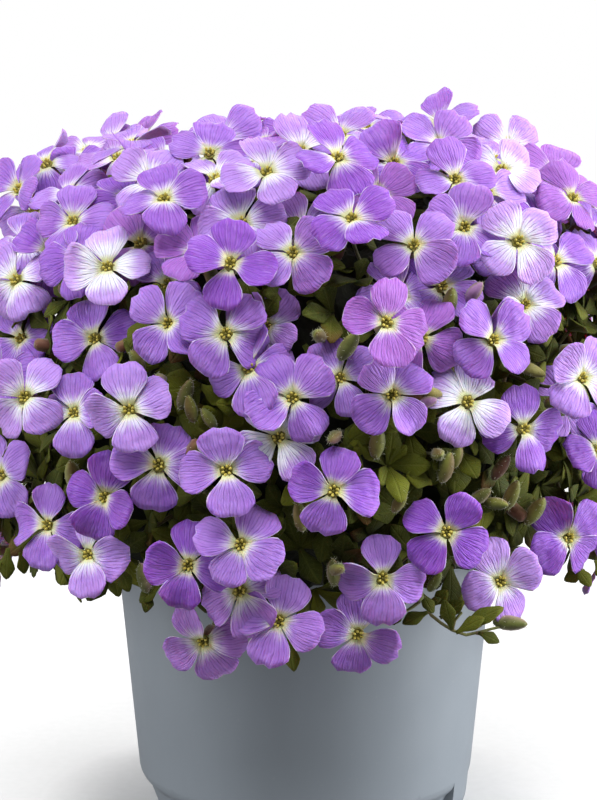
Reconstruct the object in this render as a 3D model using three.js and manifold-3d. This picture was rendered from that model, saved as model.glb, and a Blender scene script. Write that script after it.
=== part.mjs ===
// A mound of aubrieta in flower, growing in a round plastic nursery pot.
// Millimetres, +Z up. The origin is the centre of the pot's flat base.

import * as THREE from 'three';
import { mergeVertices } from 'three/addons/utils/BufferGeometryUtils.js';
import Module from 'manifold-3d';

const wasm = await Module();
wasm.setup();

// Pot: a 12 cm nursery pot with an undercut lower edge between four feet.
const POT_HEIGHT = 92;
const POT_RIM_RADIUS = 60;
const POT_WALL = 1.6;
const POT_SIDES = 40;
const SOIL_SIDES = 20;
const SLIVER = 0.1;
const WALL_RADIUS_LOW = 52;
const WALL_LOW_Z = 10;
const WALL_TAPER = 0.093;
const RIM_BAND = 8;
const FLOOR_TOP = 3.2;
const FOOT_COUNT = 4;
const FOOT_START = 338;
const FOOT_WIDTH = 14;
const FOOT_BLOCK = [40, 70];
const UNDERCUT = [[45.2, -1], [62, -1], [62, 13.5], [53.2, 13.5], [49.8, 11.2], [45.2, -1]];
const DRAIN_RADIUS = 4.5;
const DRAIN_AT = 34;
const DRAIN_GROOVE_DEPTH = 1.6;

// Soil, a loose fit in the pot.
const CLEAR = 0.3;
const SOIL_TOP = 82;

// Mound: a round, flat-topped cushion that leans up a little to the right.
const MOUND_RADIUS = 103;
const MOUND_CENTRE_Z = 125;
const MOUND_RISE = 88;
const MOUND_DROP = 71;
const MOUND_SQUARENESS = 2.8;
const MOUND_LEAN = 0.045;
const MOUND_HEART = new THREE.Vector3(0, 0, MOUND_CENTRE_Z);
const HALFWAY = 50;

// The eye that sees the photograph: its place, its downward tilt and its focal length in pixels.
const EYE = new THREE.Vector3(-2.1, -600, 213);
const EYE_TILT = THREE.MathUtils.degToRad(7.9);
const FOCAL = 1950;
const PICTURE = { width: 597, height: 800 };
const NEAREST_SIGHT = 440;
const FURTHEST_SIGHT = 760;

// Leafy shoots, spread evenly over the mound.
const SHOOT_COUNT = 36;
const GOLDEN_TURN = Math.PI * (3 - Math.sqrt(5));
const LOWEST_SHOOT = THREE.MathUtils.degToRad(114);
const CROWN_RADIUS = 43;
const STEM_RADIUS = 1.6;
const STEM_SIDES = 4;
const STEM_STEPS = 4;
const STEM_ROOT = 9;
const STEM_END_DEPTH = 20;
const STEM_SPREAD_LOW = 1.05;
const STEM_SPREAD_HIGH = 0.72;
const STEM_UPRIGHT = 26;
const STEM_LAST_RISE = 18;
const STEM_OVER_RIM = 118;

// Dense heart of each shoot, which its leaves and stalks stand out of.
const HEART_SIDES = 6;
const HEART_RADIUS = 17;
const HEART_FROM = 0.5;
const HEART_PROFILE = [[0, 0], [0.6, 0.4], [1, 0.78], [0, 1]];
const HEART_PAST_STEM = 4;
const HEART_SHRINK = 0.85;
const HEART_SHRINK_TRIES = 6;

// Blooms: four rounded petals round a narrow throat, on a thin stalk.
const PETAL_LENGTH = 12;
const PETAL_SHOULDER = 0.97;
const PETAL_HALF_ANGLE = THREE.MathUtils.degToRad(26);
const PETAL_THICKNESS = 0.65;
const PETAL_LIFT = 0.05;
const PETAL_LIFT_SPREAD = 0.22;
const PETAL_TURN_SPREAD = 0.24;
const PETAL_LENGTH_LEAST = 0.94;
const PETAL_LENGTH_SPREAD = 0.12;
const THROAT_RADIUS = 2.6;
const THROAT_DEPTH = 0.5;
const CALYX_DEPTH = 4.5;
const STALK_RADIUS = 0.95;
const STALK_FOOT_RADIUS = 0.5;
const STALK_SIDES = 3;
const STALK_REACH = 15;
const STALK_FIRST = 0.98;
const STALK_SPACING = 0.04;
const FACE_KEPT = 0.72;
const FACE_UP = 0.22;
const FACE_JITTER = 0.36;
const FACE_VIEWER = 0.75;
const LIFTS = [0, -2.4, 2.4, -4.8, 4.8, -7.2, 7.2, -9.6];
const SIZES = [1, 0.93, 0.86];

// Room that a bloom keeps from the others.
const BLOOM_GAP = 2;
const PETAL_SIDE_GAP = 0.9;
const PETAL_TIP_GAP = 1.6;
const STALK_GAP = 2.6;
const BLOOM_DEPTH = 6;
const PROBES_ALONG = [0.35, 0.58, 0.79, 0.98];
const PROBES_ACROSS = [-1, -0.5, 0, 0.5, 1];
const PROBE_STEP = 1.5;

// Blooms of the sides and back.
const BACK_BLOOM_SPACING = 19.5;
const BACK_BLOOM_TRIES = 2600;
const BACK_BLOOM_LOWEST = 1.42;
const SEEN_FACING = 0.2;
const SEEN_MARGIN = 14;
const SEEN_TOP = 90;

// Leaves: blunt, with one tooth on each side.
const LEAF_LENGTH = 13;
const LEAVES_ABOVE = 1;
const LEAVES_BELOW = 3;
const LEAF_FIRST = 0.8;
const LEAF_SPACING = 0.22;
const LEAF_TURN_TRIES = 9;
const LEAF_TURN_SPREAD = 0.8;
const LEAF_LENGTH_LEAST = 0.85;
const LEAF_LENGTH_SPREAD = 0.3;
const LEAF_ROOT_SHARE = 0.6;
const LEAF_FORWARD = 0.6;
const LEAF_OUTWARD = 0.8;
const LEAF_THICKNESS = 0.65;
const LEAF_STATIONS = [[0, 0.55], [0.42, 2.3], [0.7, 3.7], [1, 0]];
const LEAF_ARCH = 0.012;

// Buds.
const BUD_LENGTH = 7;
const BUD_RADIUS = 1.7;
const BUD_SINK = 3;
const BUD_STALK_FROM = 1.5;
const BUD_STALK_RADIUS = 0.76;

// Blooms that the photograph shows: centre x and y in pixels, and the turn of the petals in degrees.
const FRONT_BLOOMS = [
  [293, 255, 45], [226, 334, 60], [445, 531, 57], [522, 429, 5], [77, 413, 5], [106, 497, 70],
  [108, 268, 5], [391, 395, 30], [333, 490, 75], [204, 640, 20], [247, 368, 15], [491, 341, 40],
  [159, 465, 80], [357, 633, 80], [279, 621, 70], [241, 544, 65], [227, 470, 5], [77, 335, 20],
  [166, 323, 55], [235, 273, 80], [413, 247, 40], [292, 399, 35], [343, 379, 30], [140, 409, 15],
  [471, 403, 60], [499, 581, 20], [567, 537, 35], [49, 525, 85], [189, 565, 80], [152, 270, 55],
  [240, 219, 20], [301, 213, 25], [18, 281, 45], [35, 211, 45], [151, 183, 60], [269, 188, 20],
  [463, 229, 65], [506, 251, 30], [501, 172, 55], [349, 236, 35], [406, 287, 25], [379, 328, 85],
  [238, 598, 20], [384, 582, 85], [96, 551, 5], [596, 450, 0], [426, 337, 60], [528, 304, 25],
  [438, 155, 60], [451, 188, 15], [210, 155, 80], [301, 154, 30], [336, 182, 20], [172, 214, 10],
  [262, 320, 60], [69, 195, 20], [124, 190, 35], [393, 165, 40], [513, 141, 45], [521, 227, 35],
  [47, 397, 50], [4, 475, 40], [75, 223, 0], [277, 439, 30], [589, 405, 40], [43, 245, 70],
  [596, 264, 20], [566, 205, 10], [553, 176, 50], [379, 186, 35], [112, 151, 30], [159, 141, 60],
  [222, 139, 30], [366, 123, 15], [340, 136, 50], [294, 128, 70], [451, 107, 10], [51, 172, 30],
  [4, 380, 20], [566, 378, 45], [0, 335, 45], [20, 240, 25], [410, 120, 60],
];

// Buds that the photograph shows, in pixels.
const FRONT_BUDS = [
  [482, 126], [158, 377], [113, 372], [316, 334], [479, 286], [341, 567], [517, 622],
  [440, 455], [505, 505], [330, 440],
];

const SEED = 4779;

// A repeatable draw of numbers between 0 and 1.
function dice(seed) {
  let state = seed >>> 0;
  return () => {
    state = (state + 0x6d2b79f5) >>> 0;
    let t = state;
    t = Math.imul(t ^ (t >>> 15), t | 1);
    t ^= t + Math.imul(t ^ (t >>> 7), t | 61);
    return ((t ^ (t >>> 14)) >>> 0) / 4294967296;
  };
}

// A solid from a closed three.js geometry.
function solid(geometry) {
  const bare = geometry.index ? geometry : geometry.clone();
  bare.deleteAttribute('normal');
  bare.deleteAttribute('uv');
  const merged = mergeVertices(bare, 1e-4);
  return new wasm.Manifold(new wasm.Mesh({
    numProp: 3,
    vertProperties: new Float32Array(merged.attributes.position.array),
    triVerts: new Uint32Array(merged.index.array),
  }));
}

// The largest body of a solid, with loose scraps and sealed hollows left out.
function mainBody(whole) {
  const bodies = whole.decompose();
  return bodies.reduce((a, b) => (b.volume() > a.volume() ? b : a)).asOriginal().simplify(SLIVER);
}

function meshOf(name, whole, material) {
  const { vertProperties, triVerts } = mainBody(whole).getMesh();
  const geometry = new THREE.BufferGeometry();
  geometry.setAttribute('position', new THREE.BufferAttribute(new Float32Array(vertProperties), 3));
  geometry.setIndex(new THREE.BufferAttribute(new Uint32Array(triVerts), 1));
  geometry.computeVertexNormals();
  const mesh = new THREE.Mesh(geometry, material);
  mesh.name = name;
  return mesh;
}

// A rod of constant section along a curve.
function rod(curve, radius, sides, steps) {
  const section = new THREE.Shape();
  for (let i = 0; i < sides; i += 1) {
    const turn = (i / sides) * Math.PI * 2;
    const x = radius * Math.cos(turn);
    const y = radius * Math.sin(turn);
    if (i === 0) section.moveTo(x, y);
    else section.lineTo(x, y);
  }
  return solid(new THREE.ExtrudeGeometry(section, { steps, bevelEnabled: false, extrudePath: curve }));
}

// Pot

function wallRadius(z) {
  return WALL_RADIUS_LOW + WALL_TAPER * (z - WALL_LOW_Z);
}

function lathe(profile, sides) {
  const points = profile.map(([r, z]) => new THREE.Vector2(r, z));
  const geometry = new THREE.LatheGeometry(points, sides);
  geometry.rotateX(Math.PI / 2);
  return solid(geometry);
}

// The block that keeps one foot out of the undercut.
function footBlock(turn) {
  const [from, to] = FOOT_BLOCK;
  const geometry = new THREE.BoxGeometry(to - from, FOOT_WIDTH, 2 * FOOT_BLOCK[0]);
  geometry.translate((from + to) / 2, 0, 0);
  geometry.rotateZ(turn);
  return solid(geometry);
}

function drain(turn) {
  const hole = new THREE.CylinderGeometry(DRAIN_RADIUS, DRAIN_RADIUS, 20, 10);
  hole.rotateX(Math.PI / 2);
  hole.translate(DRAIN_AT, 0, 0);
  hole.rotateZ(turn);
  const length = WALL_RADIUS_LOW - DRAIN_AT;
  const groove = new THREE.BoxGeometry(length, 2 * DRAIN_RADIUS, 2 * DRAIN_GROOVE_DEPTH);
  groove.translate(DRAIN_AT + length / 2, 0, 0);
  groove.rotateZ(turn);
  return solid(hole).add(solid(groove));
}

function potSolid() {
  const rimFoot = POT_HEIGHT - RIM_BAND;
  let pot = lathe([
    [0, 0], [47.2, 0], [49.6, 2.4], [51.2, 5.8], [WALL_RADIUS_LOW, WALL_LOW_Z],
    [wallRadius(rimFoot), rimFoot], [POT_RIM_RADIUS - 0.2, rimFoot + 0.8],
    [POT_RIM_RADIUS, POT_HEIGHT], [wallRadius(POT_HEIGHT) - POT_WALL, POT_HEIGHT],
    [wallRadius(17) - POT_WALL, 17], [47.6, 11], [43.5, FLOOR_TOP], [0, FLOOR_TOP],
  ], POT_SIDES);
  const apart = (2 * Math.PI) / FOOT_COUNT;
  let undercut = lathe(UNDERCUT, POT_SIDES);
  for (let i = 0; i < FOOT_COUNT; i += 1) {
    const turn = THREE.MathUtils.degToRad(FOOT_START) + i * apart;
    undercut = undercut.subtract(footBlock(turn));
    pot = pot.subtract(drain(turn + apart / 2));
  }
  return pot.subtract(undercut);
}

// Soil

function soilSolid(stems) {
  let soil = lathe([
    [0, FLOOR_TOP + CLEAR], [43.1, FLOOR_TOP + CLEAR], [47.1, 11.3],
    [wallRadius(17) - POT_WALL - CLEAR, 17.2], [wallRadius(SOIL_TOP) - POT_WALL - CLEAR, SOIL_TOP],
    [0, SOIL_TOP],
  ], SOIL_SIDES);
  for (const stem of stems) {
    soil = soil.subtract(rod(stem, STEM_RADIUS + 2 * CLEAR, STEM_SIDES, STEM_STEPS));
  }
  return soil;
}

// Mound surface

// 1 on the mound's surface, less inside it and more outside.
function moundLevel(p) {
  const rise = p.z - MOUND_CENTRE_Z - MOUND_LEAN * p.x;
  const across = Math.hypot(p.x, p.y) / MOUND_RADIUS;
  const up = Math.abs(rise) / (rise > 0 ? MOUND_RISE : MOUND_DROP);
  return (across ** MOUND_SQUARENESS + up ** MOUND_SQUARENESS) ** (1 / MOUND_SQUARENESS);
}

function moundNormal(p) {
  const step = 0.5;
  const slope = (axis) => {
    const there = p.clone();
    there[axis] += step;
    return moundLevel(there) - moundLevel(p);
  };
  return new THREE.Vector3(slope('x'), slope('y'), slope('z')).normalize();
}

function onMound(p) {
  const out = p.clone().sub(MOUND_HEART);
  let scale = 1;
  for (let i = 0; i < 8; i += 1) {
    scale /= moundLevel(out.clone().multiplyScalar(scale).add(MOUND_HEART));
  }
  return out.multiplyScalar(scale).add(MOUND_HEART);
}

// Where the line of sight through a pixel meets the mound, or passes nearest to it.
function sightOnMound(px, py) {
  const across = (px - PICTURE.width / 2) / FOCAL;
  const down = (py - PICTURE.height / 2) / FOCAL;
  const forward = new THREE.Vector3(0, Math.cos(EYE_TILT), -Math.sin(EYE_TILT));
  const up = new THREE.Vector3(0, Math.sin(EYE_TILT), Math.cos(EYE_TILT));
  const line = forward.addScaledVector(new THREE.Vector3(1, 0, 0), across).addScaledVector(up, -down);
  let best = null;
  let bestLevel = Infinity;
  for (let distance = NEAREST_SIGHT; distance < FURTHEST_SIGHT; distance += 1) {
    const p = EYE.clone().addScaledVector(line, distance);
    const level = moundLevel(p);
    if (level < 1) return onMound(p);
    if (level < bestLevel) {
      bestLevel = level;
      best = p;
    }
  }
  return onMound(best);
}

function pixelOf(p) {
  const d = p.clone().sub(EYE);
  const depth = d.y * Math.cos(EYE_TILT) - d.z * Math.sin(EYE_TILT);
  const up = d.y * Math.sin(EYE_TILT) + d.z * Math.cos(EYE_TILT);
  return [PICTURE.width / 2 + (FOCAL * d.x) / depth, PICTURE.height / 2 - (FOCAL * up) / depth];
}

// Blooms

// A bloom looks outwards and a little up, and turns part of the way to the viewer's light.
function bloomFrame(at, turn, draw, towardsViewer) {
  const facing = moundNormal(at);
  facing.z = facing.z * FACE_KEPT + FACE_UP;
  facing.addScaledVector(EYE.clone().sub(at).normalize(), towardsViewer);
  facing.add(new THREE.Vector3(draw() - 0.5, draw() - 0.5, draw() - 0.5).multiplyScalar(FACE_JITTER));
  facing.normalize();
  const side = new THREE.Vector3(-facing.y, facing.x, 0).normalize();
  const top = facing.clone().cross(side);
  const u = side.clone().multiplyScalar(Math.cos(turn)).addScaledVector(top, Math.sin(turn));
  return { u, v: facing.clone().cross(u), w: facing };
}

function makeBloom(at, turnDegrees, draw, towardsViewer) {
  const turn = THREE.MathUtils.degToRad(turnDegrees);
  const frame = bloomFrame(at, turn, draw, towardsViewer);
  const petals = [0, 1, 2, 3].map((i) => ({
    angle: (i * Math.PI) / 2 + (draw() - 0.5) * PETAL_TURN_SPREAD,
    lift: PETAL_LIFT + (draw() - 0.5) * PETAL_LIFT_SPREAD,
    length: PETAL_LENGTH * (PETAL_LENGTH_LEAST + PETAL_LENGTH_SPREAD * draw()),
  }));
  return { at: at.clone(), rest: at.clone(), ...frame, petals, size: 1 };
}

function toWorld(bloom, x, y, z) {
  return bloom.at.clone().addScaledVector(bloom.u, x).addScaledVector(bloom.v, y)
    .addScaledVector(bloom.w, z);
}

// Points that stand for a bloom and the upper part of its stalk.
function bloomProbes(bloom) {
  const probes = [];
  for (const petal of bloom.petals) {
    for (const along of PROBES_ALONG) {
      for (const across of PROBES_ACROSS) {
        const r = petal.length * bloom.size * along;
        const angle = petal.angle + across * PETAL_HALF_ANGLE;
        probes.push(toWorld(bloom, r * Math.cos(angle), r * Math.sin(angle), r * petal.lift));
      }
    }
  }
  for (let depth = 0; depth <= STALK_REACH; depth += PROBE_STEP) {
    probes.push(toWorld(bloom, 0, 0, -depth));
  }
  return probes;
}

// Whether a point touches a bloom's petals or the upper part of its stalk.
function touches(bloom, p) {
  const d = p.clone().sub(bloom.at);
  const x = d.dot(bloom.u);
  const y = d.dot(bloom.v);
  const z = d.dot(bloom.w);
  const r = Math.hypot(x, y);
  if (r < STALK_GAP && z < 1 && z > -STALK_REACH) return true;
  if (r > (PETAL_LENGTH + PETAL_TIP_GAP) * bloom.size || Math.abs(z) > BLOOM_DEPTH) return false;
  const angle = Math.atan2(y, x);
  for (const petal of bloom.petals) {
    const away = Math.abs(Math.atan2(Math.sin(angle - petal.angle), Math.cos(angle - petal.angle)));
    const beside = away > PETAL_HALF_ANGLE ? r * Math.sin(away - PETAL_HALF_ANGLE) : 0;
    const above = Math.abs(z - petal.lift * r);
    if (away < Math.PI / 2 && beside < PETAL_SIDE_GAP && above < BLOOM_GAP) return true;
  }
  return false;
}

function bloomsMeet(a, b) {
  if (a.at.distanceTo(b.at) > 2 * PETAL_LENGTH + STALK_REACH) return false;
  return a.probes.some((p) => touches(b, p)) || b.probes.some((p) => touches(a, p));
}

// Tries a bloom at its place, then nearer to or further from the mound's heart, then smaller.
function settle(bloom, others) {
  for (const size of SIZES) {
    for (const lift of LIFTS) {
      bloom.size = size;
      bloom.at = bloom.rest.clone().addScaledVector(moundNormal(bloom.rest), lift);
      bloom.probes = bloomProbes(bloom);
      if (!others.some((other) => bloomsMeet(bloom, other))) return true;
    }
  }
  return false;
}

function frontBlooms(draw) {
  const blooms = [];
  for (const [px, py, turn] of FRONT_BLOOMS) {
    const bloom = makeBloom(sightOnMound(px, py), turn, draw, FACE_VIEWER);
    if (settle(bloom, blooms)) blooms.push(bloom);
  }
  return blooms;
}

function seenInPicture(p) {
  const [px, py] = pixelOf(p);
  const faces = moundNormal(p).dot(EYE.clone().sub(p).normalize()) > SEEN_FACING;
  return faces && px > -SEEN_MARGIN && px < PICTURE.width + SEEN_MARGIN && py > SEEN_TOP;
}

// The sides and back, which the photograph doesn't show, carry blooms at a like spacing.
function backBlooms(draw, blooms) {
  for (let i = 0; i < BACK_BLOOM_TRIES; i += 1) {
    const height = 1 - draw() * BACK_BLOOM_LOWEST;
    const turn = draw() * Math.PI * 2;
    const across = Math.sqrt(1 - height * height);
    const out = new THREE.Vector3(across * Math.cos(turn), across * Math.sin(turn), height);
    const at = onMound(out.multiplyScalar(HALFWAY).add(MOUND_HEART));
    const bloomTurn = draw() * 90;
    const bloomDraw = dice(Math.floor(draw() * 1e6));
    const near = blooms.some((other) => other.rest.distanceTo(at) < BACK_BLOOM_SPACING);
    if (near || seenInPicture(at)) continue;
    const bloom = makeBloom(at, bloomTurn, bloomDraw, 0);
    if (settle(bloom, blooms)) blooms.push(bloom);
  }
}

// A bloom and its stalk in one: petals above, and below them the calyx, which runs into the stalk.
function bloomSolid(bloom, foot) {
  const neck = toWorld(bloom, 0, 0, -CALYX_DEPTH);
  const points = [];
  const faces = [];
  const addPoint = (p) => {
    points.push(...p.toArray());
    return points.length / 3 - 1;
  };
  const add = (r, angle, z) => addPoint(toWorld(bloom, r * Math.cos(angle), r * Math.sin(angle), z));
  const crown = add(0, 0, -THROAT_DEPTH);
  const rings = bloom.petals.map((petal, i) => {
    const before = bloom.petals[(i + 3) % 4];
    const back = before.angle - (i === 0 ? Math.PI * 2 : 0);
    const notch = (petal.angle + back) / 2;
    const shoulder = petal.length * bloom.size * PETAL_SHOULDER;
    const spots = [
      [THROAT_RADIUS, notch, 0.1],
      [shoulder, petal.angle - PETAL_HALF_ANGLE, shoulder * petal.lift],
      [shoulder, petal.angle + PETAL_HALF_ANGLE, shoulder * petal.lift],
    ];
    const above = spots.map(([r, angle, z]) => add(r, angle, z));
    const below = spots.map(([r, angle, z]) => add(r, angle, z - PETAL_THICKNESS));
    return { above, below };
  });
  rings.forEach((ring, i) => {
    const next = rings[(i + 1) % 4];
    const [n, l, r] = ring.above;
    const [nb, lb, rb] = ring.below;
    const m = next.above[0];
    const mb = next.below[0];
    faces.push(crown, n, l, crown, l, r, crown, r, m);
    faces.push(n, nb, lb, n, lb, l, l, lb, rb, l, rb, r, r, rb, mb, r, mb, m);
  });
  const under = rings.flatMap((ring) => ring.below);
  const share = under.length / STALK_SIDES;
  const along = foot.clone().sub(neck).normalize();
  const u = bloom.u.clone().addScaledVector(along, -along.dot(bloom.u)).normalize();
  const v = u.clone().cross(along);
  const ring = (at, radius) => Array.from({ length: STALK_SIDES }, (_, i) => {
    const turn = ((i + 0.125) / STALK_SIDES) * Math.PI * 2;
    const side = u.clone().multiplyScalar(Math.cos(turn)).addScaledVector(v, Math.sin(turn));
    return addPoint(at.clone().addScaledVector(side, radius));
  });
  const top = ring(neck, STALK_RADIUS);
  const base = ring(foot, STALK_FOOT_RADIUS);
  under.forEach((corner, j) => {
    const nextCorner = under[(j + 1) % under.length];
    const here = top[Math.floor(j / share)];
    const there = top[Math.floor((j + 1) / share) % STALK_SIDES];
    faces.push(here, nextCorner, corner);
    if (here !== there) faces.push(here, there, nextCorner);
  });
  for (let i = 0; i < STALK_SIDES; i += 1) {
    const j = (i + 1) % STALK_SIDES;
    faces.push(top[j], top[i], base[i], top[j], base[i], base[j]);
  }
  faces.push(base[0], base[2], base[1]);
  const geometry = new THREE.BufferGeometry();
  geometry.setAttribute('position', new THREE.Float32BufferAttribute(points, 3));
  geometry.setIndex(faces);
  return solid(geometry);
}

// Shoots

function stemCurve(k) {
  const share = (k + 0.5) / SHOOT_COUNT;
  const down = Math.acos(1 - share * (1 - Math.cos(LOWEST_SHOOT)));
  const turn = k * GOLDEN_TURN;
  const out = new THREE.Vector3(Math.cos(turn), Math.sin(turn), 0);
  const root = out.clone().multiplyScalar(CROWN_RADIUS * Math.sqrt(share));
  const way = out.clone().multiplyScalar(Math.sin(down)).add(new THREE.Vector3(0, 0, Math.cos(down)));
  const target = onMound(way.multiplyScalar(HALFWAY).add(MOUND_HEART));
  const end = target.clone().addScaledVector(moundNormal(target), -STEM_END_DEPTH);
  const shoulder = end.clone().multiplyScalar(STEM_SPREAD_HIGH);
  shoulder.z = Math.max(end.z - STEM_LAST_RISE, STEM_OVER_RIM);
  return new THREE.CubicBezierCurve3(
    new THREE.Vector3(root.x, root.y, SOIL_TOP - STEM_ROOT),
    new THREE.Vector3(root.x * STEM_SPREAD_LOW, root.y * STEM_SPREAD_LOW, SOIL_TOP + STEM_UPRIGHT),
    shoulder,
    end,
  );
}

// A leaf from its root, pointing along way, its upper face towards up.
function leafSolid(root, way, up, length) {
  const y = up.clone().cross(way).normalize();
  const z = way.clone().cross(y).normalize();
  const points = [];
  const faces = [];
  const add = (s, t, h) => {
    const p = root.clone().addScaledVector(way, s).addScaledVector(y, t).addScaledVector(z, h);
    points.push(...p.toArray());
    return points.length / 3 - 1;
  };
  const layers = [0, -LEAF_THICKNESS].map((drop) => LEAF_STATIONS.map(([share, half]) => {
    const s = share * length;
    const h = drop - LEAF_ARCH * s * s;
    return half === 0 ? [add(s, 0, h)] : [add(s, -half, h), add(s, half, h)];
  }));
  const last = LEAF_STATIONS.length - 1;
  const [above, below] = layers;
  for (let i = 0; i < last; i += 1) {
    const [a, b] = above[i];
    const [c, d] = below[i];
    if (i < last - 1) {
      const [e, f] = above[i + 1];
      const [g, h] = below[i + 1];
      faces.push(a, e, f, a, f, b, c, h, g, c, d, h);
      faces.push(a, c, g, a, g, e, b, f, h, b, h, d);
    } else {
      const [e] = above[last];
      const [g] = below[last];
      faces.push(a, e, b, c, d, g, a, c, g, a, g, e, b, e, g, b, g, d);
    }
  }
  const [a, b] = above[0];
  const [c, d] = below[0];
  faces.push(a, b, d, a, d, c);
  const geometry = new THREE.BufferGeometry();
  geometry.setAttribute('position', new THREE.Float32BufferAttribute(points, 3));
  geometry.setIndex(faces);
  return solid(geometry);
}

// The dense heart of a shoot: a spindle round the upper half of its stem.
function heartOf(stem, radius) {
  const from = stem.getPoint(HEART_FROM);
  const to = stem.getPoint(1);
  const way = to.clone().sub(from).normalize();
  const length = to.distanceTo(from) + HEART_PAST_STEM;
  const profile = HEART_PROFILE.map(([r, y]) => new THREE.Vector2(r * radius, y * length));
  const spindle = new THREE.LatheGeometry(profile, HEART_SIDES);
  spindle.applyQuaternion(new THREE.Quaternion().setFromUnitVectors(new THREE.Vector3(0, 1, 0), way));
  spindle.translate(from.x, from.y, from.z);
  return { from, way, length, radius, body: solid(spindle) };
}

function clearOf(piece, things) {
  return !things.some((thing) => piece.intersect(thing).volume() > 1e-6);
}

function shootHeart(stem, inTheWay) {
  let heart = null;
  for (let i = 0; i < HEART_SHRINK_TRIES; i += 1) {
    heart = heartOf(stem, HEART_RADIUS * HEART_SHRINK ** i);
    if (clearOf(heart.body, inTheWay)) return heart;
  }
  return null;
}

// The leaves of one shoot. Each turns round the heart until it is clear of all that stands near it.
function shootLeaves(heart, k, draw, inTheWay) {
  const leaves = [];
  const count = k > SHOOT_COUNT / 2 ? LEAVES_BELOW : LEAVES_ABOVE;
  const side = new THREE.Vector3(-heart.way.y, heart.way.x, 0.01).normalize();
  const other = heart.way.clone().cross(side);
  for (let i = 0; i < count; i += 1) {
    const share = LEAF_FIRST - LEAF_SPACING * i;
    const firstTurn = i * GOLDEN_TURN + draw() * LEAF_TURN_SPREAD;
    const length = LEAF_LENGTH * (LEAF_LENGTH_LEAST + LEAF_LENGTH_SPREAD * draw());
    for (let turnTry = 0; turnTry < LEAF_TURN_TRIES; turnTry += 1) {
      const turn = firstTurn + (turnTry * Math.PI * 2) / LEAF_TURN_TRIES;
      const spread = side.clone().multiplyScalar(Math.cos(turn)).addScaledVector(other, Math.sin(turn));
      const root = heart.from.clone().addScaledVector(heart.way, share * heart.length)
        .addScaledVector(spread, heart.radius * share * LEAF_ROOT_SHARE);
      const way = heart.way.clone().multiplyScalar(LEAF_FORWARD).addScaledVector(spread, LEAF_OUTWARD)
        .normalize();
      const leaf = leafSolid(root, way, heart.way, length);
      if (clearOf(leaf, inTheWay)) {
        leaves.push(leaf);
        inTheWay.push(leaf);
        break;
      }
    }
  }
  return leaves;
}

function budSolid(at, way) {
  const bud = new THREE.SphereGeometry(1, 5, 3);
  bud.scale(BUD_RADIUS, BUD_LENGTH / 2, BUD_RADIUS);
  bud.applyQuaternion(new THREE.Quaternion().setFromUnitVectors(new THREE.Vector3(0, 1, 0), way));
  bud.translate(at.x, at.y, at.z);
  return solid(bud);
}

function nearestShoot(p, stems) {
  const way = p.clone().sub(MOUND_HEART).normalize();
  let best = 0;
  let bestDot = -2;
  stems.forEach((stem, k) => {
    const dot = stem.getPoint(1).sub(MOUND_HEART).normalize().dot(way);
    if (dot > bestDot) {
      bestDot = dot;
      best = k;
    }
  });
  return best;
}

// Colours

const potMaterial = new THREE.MeshStandardMaterial({ color: 0x8d969f, roughness: 0.5 });
const soilMaterial = new THREE.MeshStandardMaterial({ color: 0x2e2219, roughness: 0.95 });
const shootMaterial = new THREE.MeshStandardMaterial({ color: 0xa274dc, roughness: 0.6 });

// Assembly

function plantSolids(pot) {
  const stems = Array.from({ length: SHOOT_COUNT }, (_, k) => stemCurve(k));
  const draw = dice(SEED);
  const blooms = frontBlooms(draw);
  backBlooms(draw, blooms);
  const heads = stems.map(() => []);
  const nextFoot = (k) => stems[k].getPoint(STALK_FIRST - STALK_SPACING * heads[k].length);
  const lowestFirst = [...blooms].sort((a, b) => a.at.z - b.at.z);
  for (const bloom of lowestFirst) {
    const k = nearestShoot(bloom.at, stems);
    heads[k].push(bloomSolid(bloom, nextFoot(k)));
  }
  for (const [px, py] of FRONT_BUDS) {
    const at = sightOnMound(px, py);
    const k = nearestShoot(at, stems);
    const way = moundNormal(at).add(new THREE.Vector3(draw() - 0.5, 0, draw() - 0.2)).normalize();
    at.addScaledVector(way, -BUD_SINK);
    const stalk = new THREE.LineCurve3(at.clone().addScaledVector(way, -BUD_STALK_FROM), nextFoot(k));
    heads[k].push(budSolid(at, way).add(rod(stalk, BUD_STALK_RADIUS, STALK_SIDES, 1)));
  }
  const rods = stems.map((stem) => rod(stem, STEM_RADIUS, STEM_SIDES, STEM_STEPS));
  const hearts = [];
  stems.forEach((stem, k) => {
    const others = [...rods, ...heads].flatMap((things, j) => (j % SHOOT_COUNT === k ? [] : things));
    hearts.push(shootHeart(stem, [pot, ...others, ...hearts.map((heart) => heart.body)]));
  });
  const leaves = [];
  stems.forEach((stem, k) => {
    const others = [...rods, ...hearts.map((heart) => heart.body)].filter((_, j) => j % SHOOT_COUNT !== k);
    leaves.push(shootLeaves(hearts[k], k, draw, [pot, ...others, ...heads.flat(), ...leaves.flat()]));
  });
  const shoots = rods.map((stem, k) => (
    [hearts[k].body, ...heads[k], ...leaves[k]].reduce((a, b) => a.add(b), stem)
  ));
  return { stems, shoots };
}

const pot = potSolid();
const { stems, shoots } = plantSolids(pot);
const group = new THREE.Group();
group.add(meshOf('pot', pot, potMaterial));
group.add(meshOf('soil', soilSolid(stems), soilMaterial));
shoots.forEach((shoot, k) => {
  group.add(meshOf(`shoot_${String(k + 1).padStart(2, '0')}`, shoot, shootMaterial));
});

export default group;
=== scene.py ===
# A mound of aubrieta in flower in a round nursery pot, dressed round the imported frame.
# The plant is planned and modelled in millimetres. A finished mesh holds metres.

from math import acos, atan, cos, floor, pi, radians, sin, sqrt

import bpy
import numpy as np
from bpy.props import FloatProperty, FloatVectorProperty, IntProperty, PointerProperty
from mathutils import Matrix, Vector, noise


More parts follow.
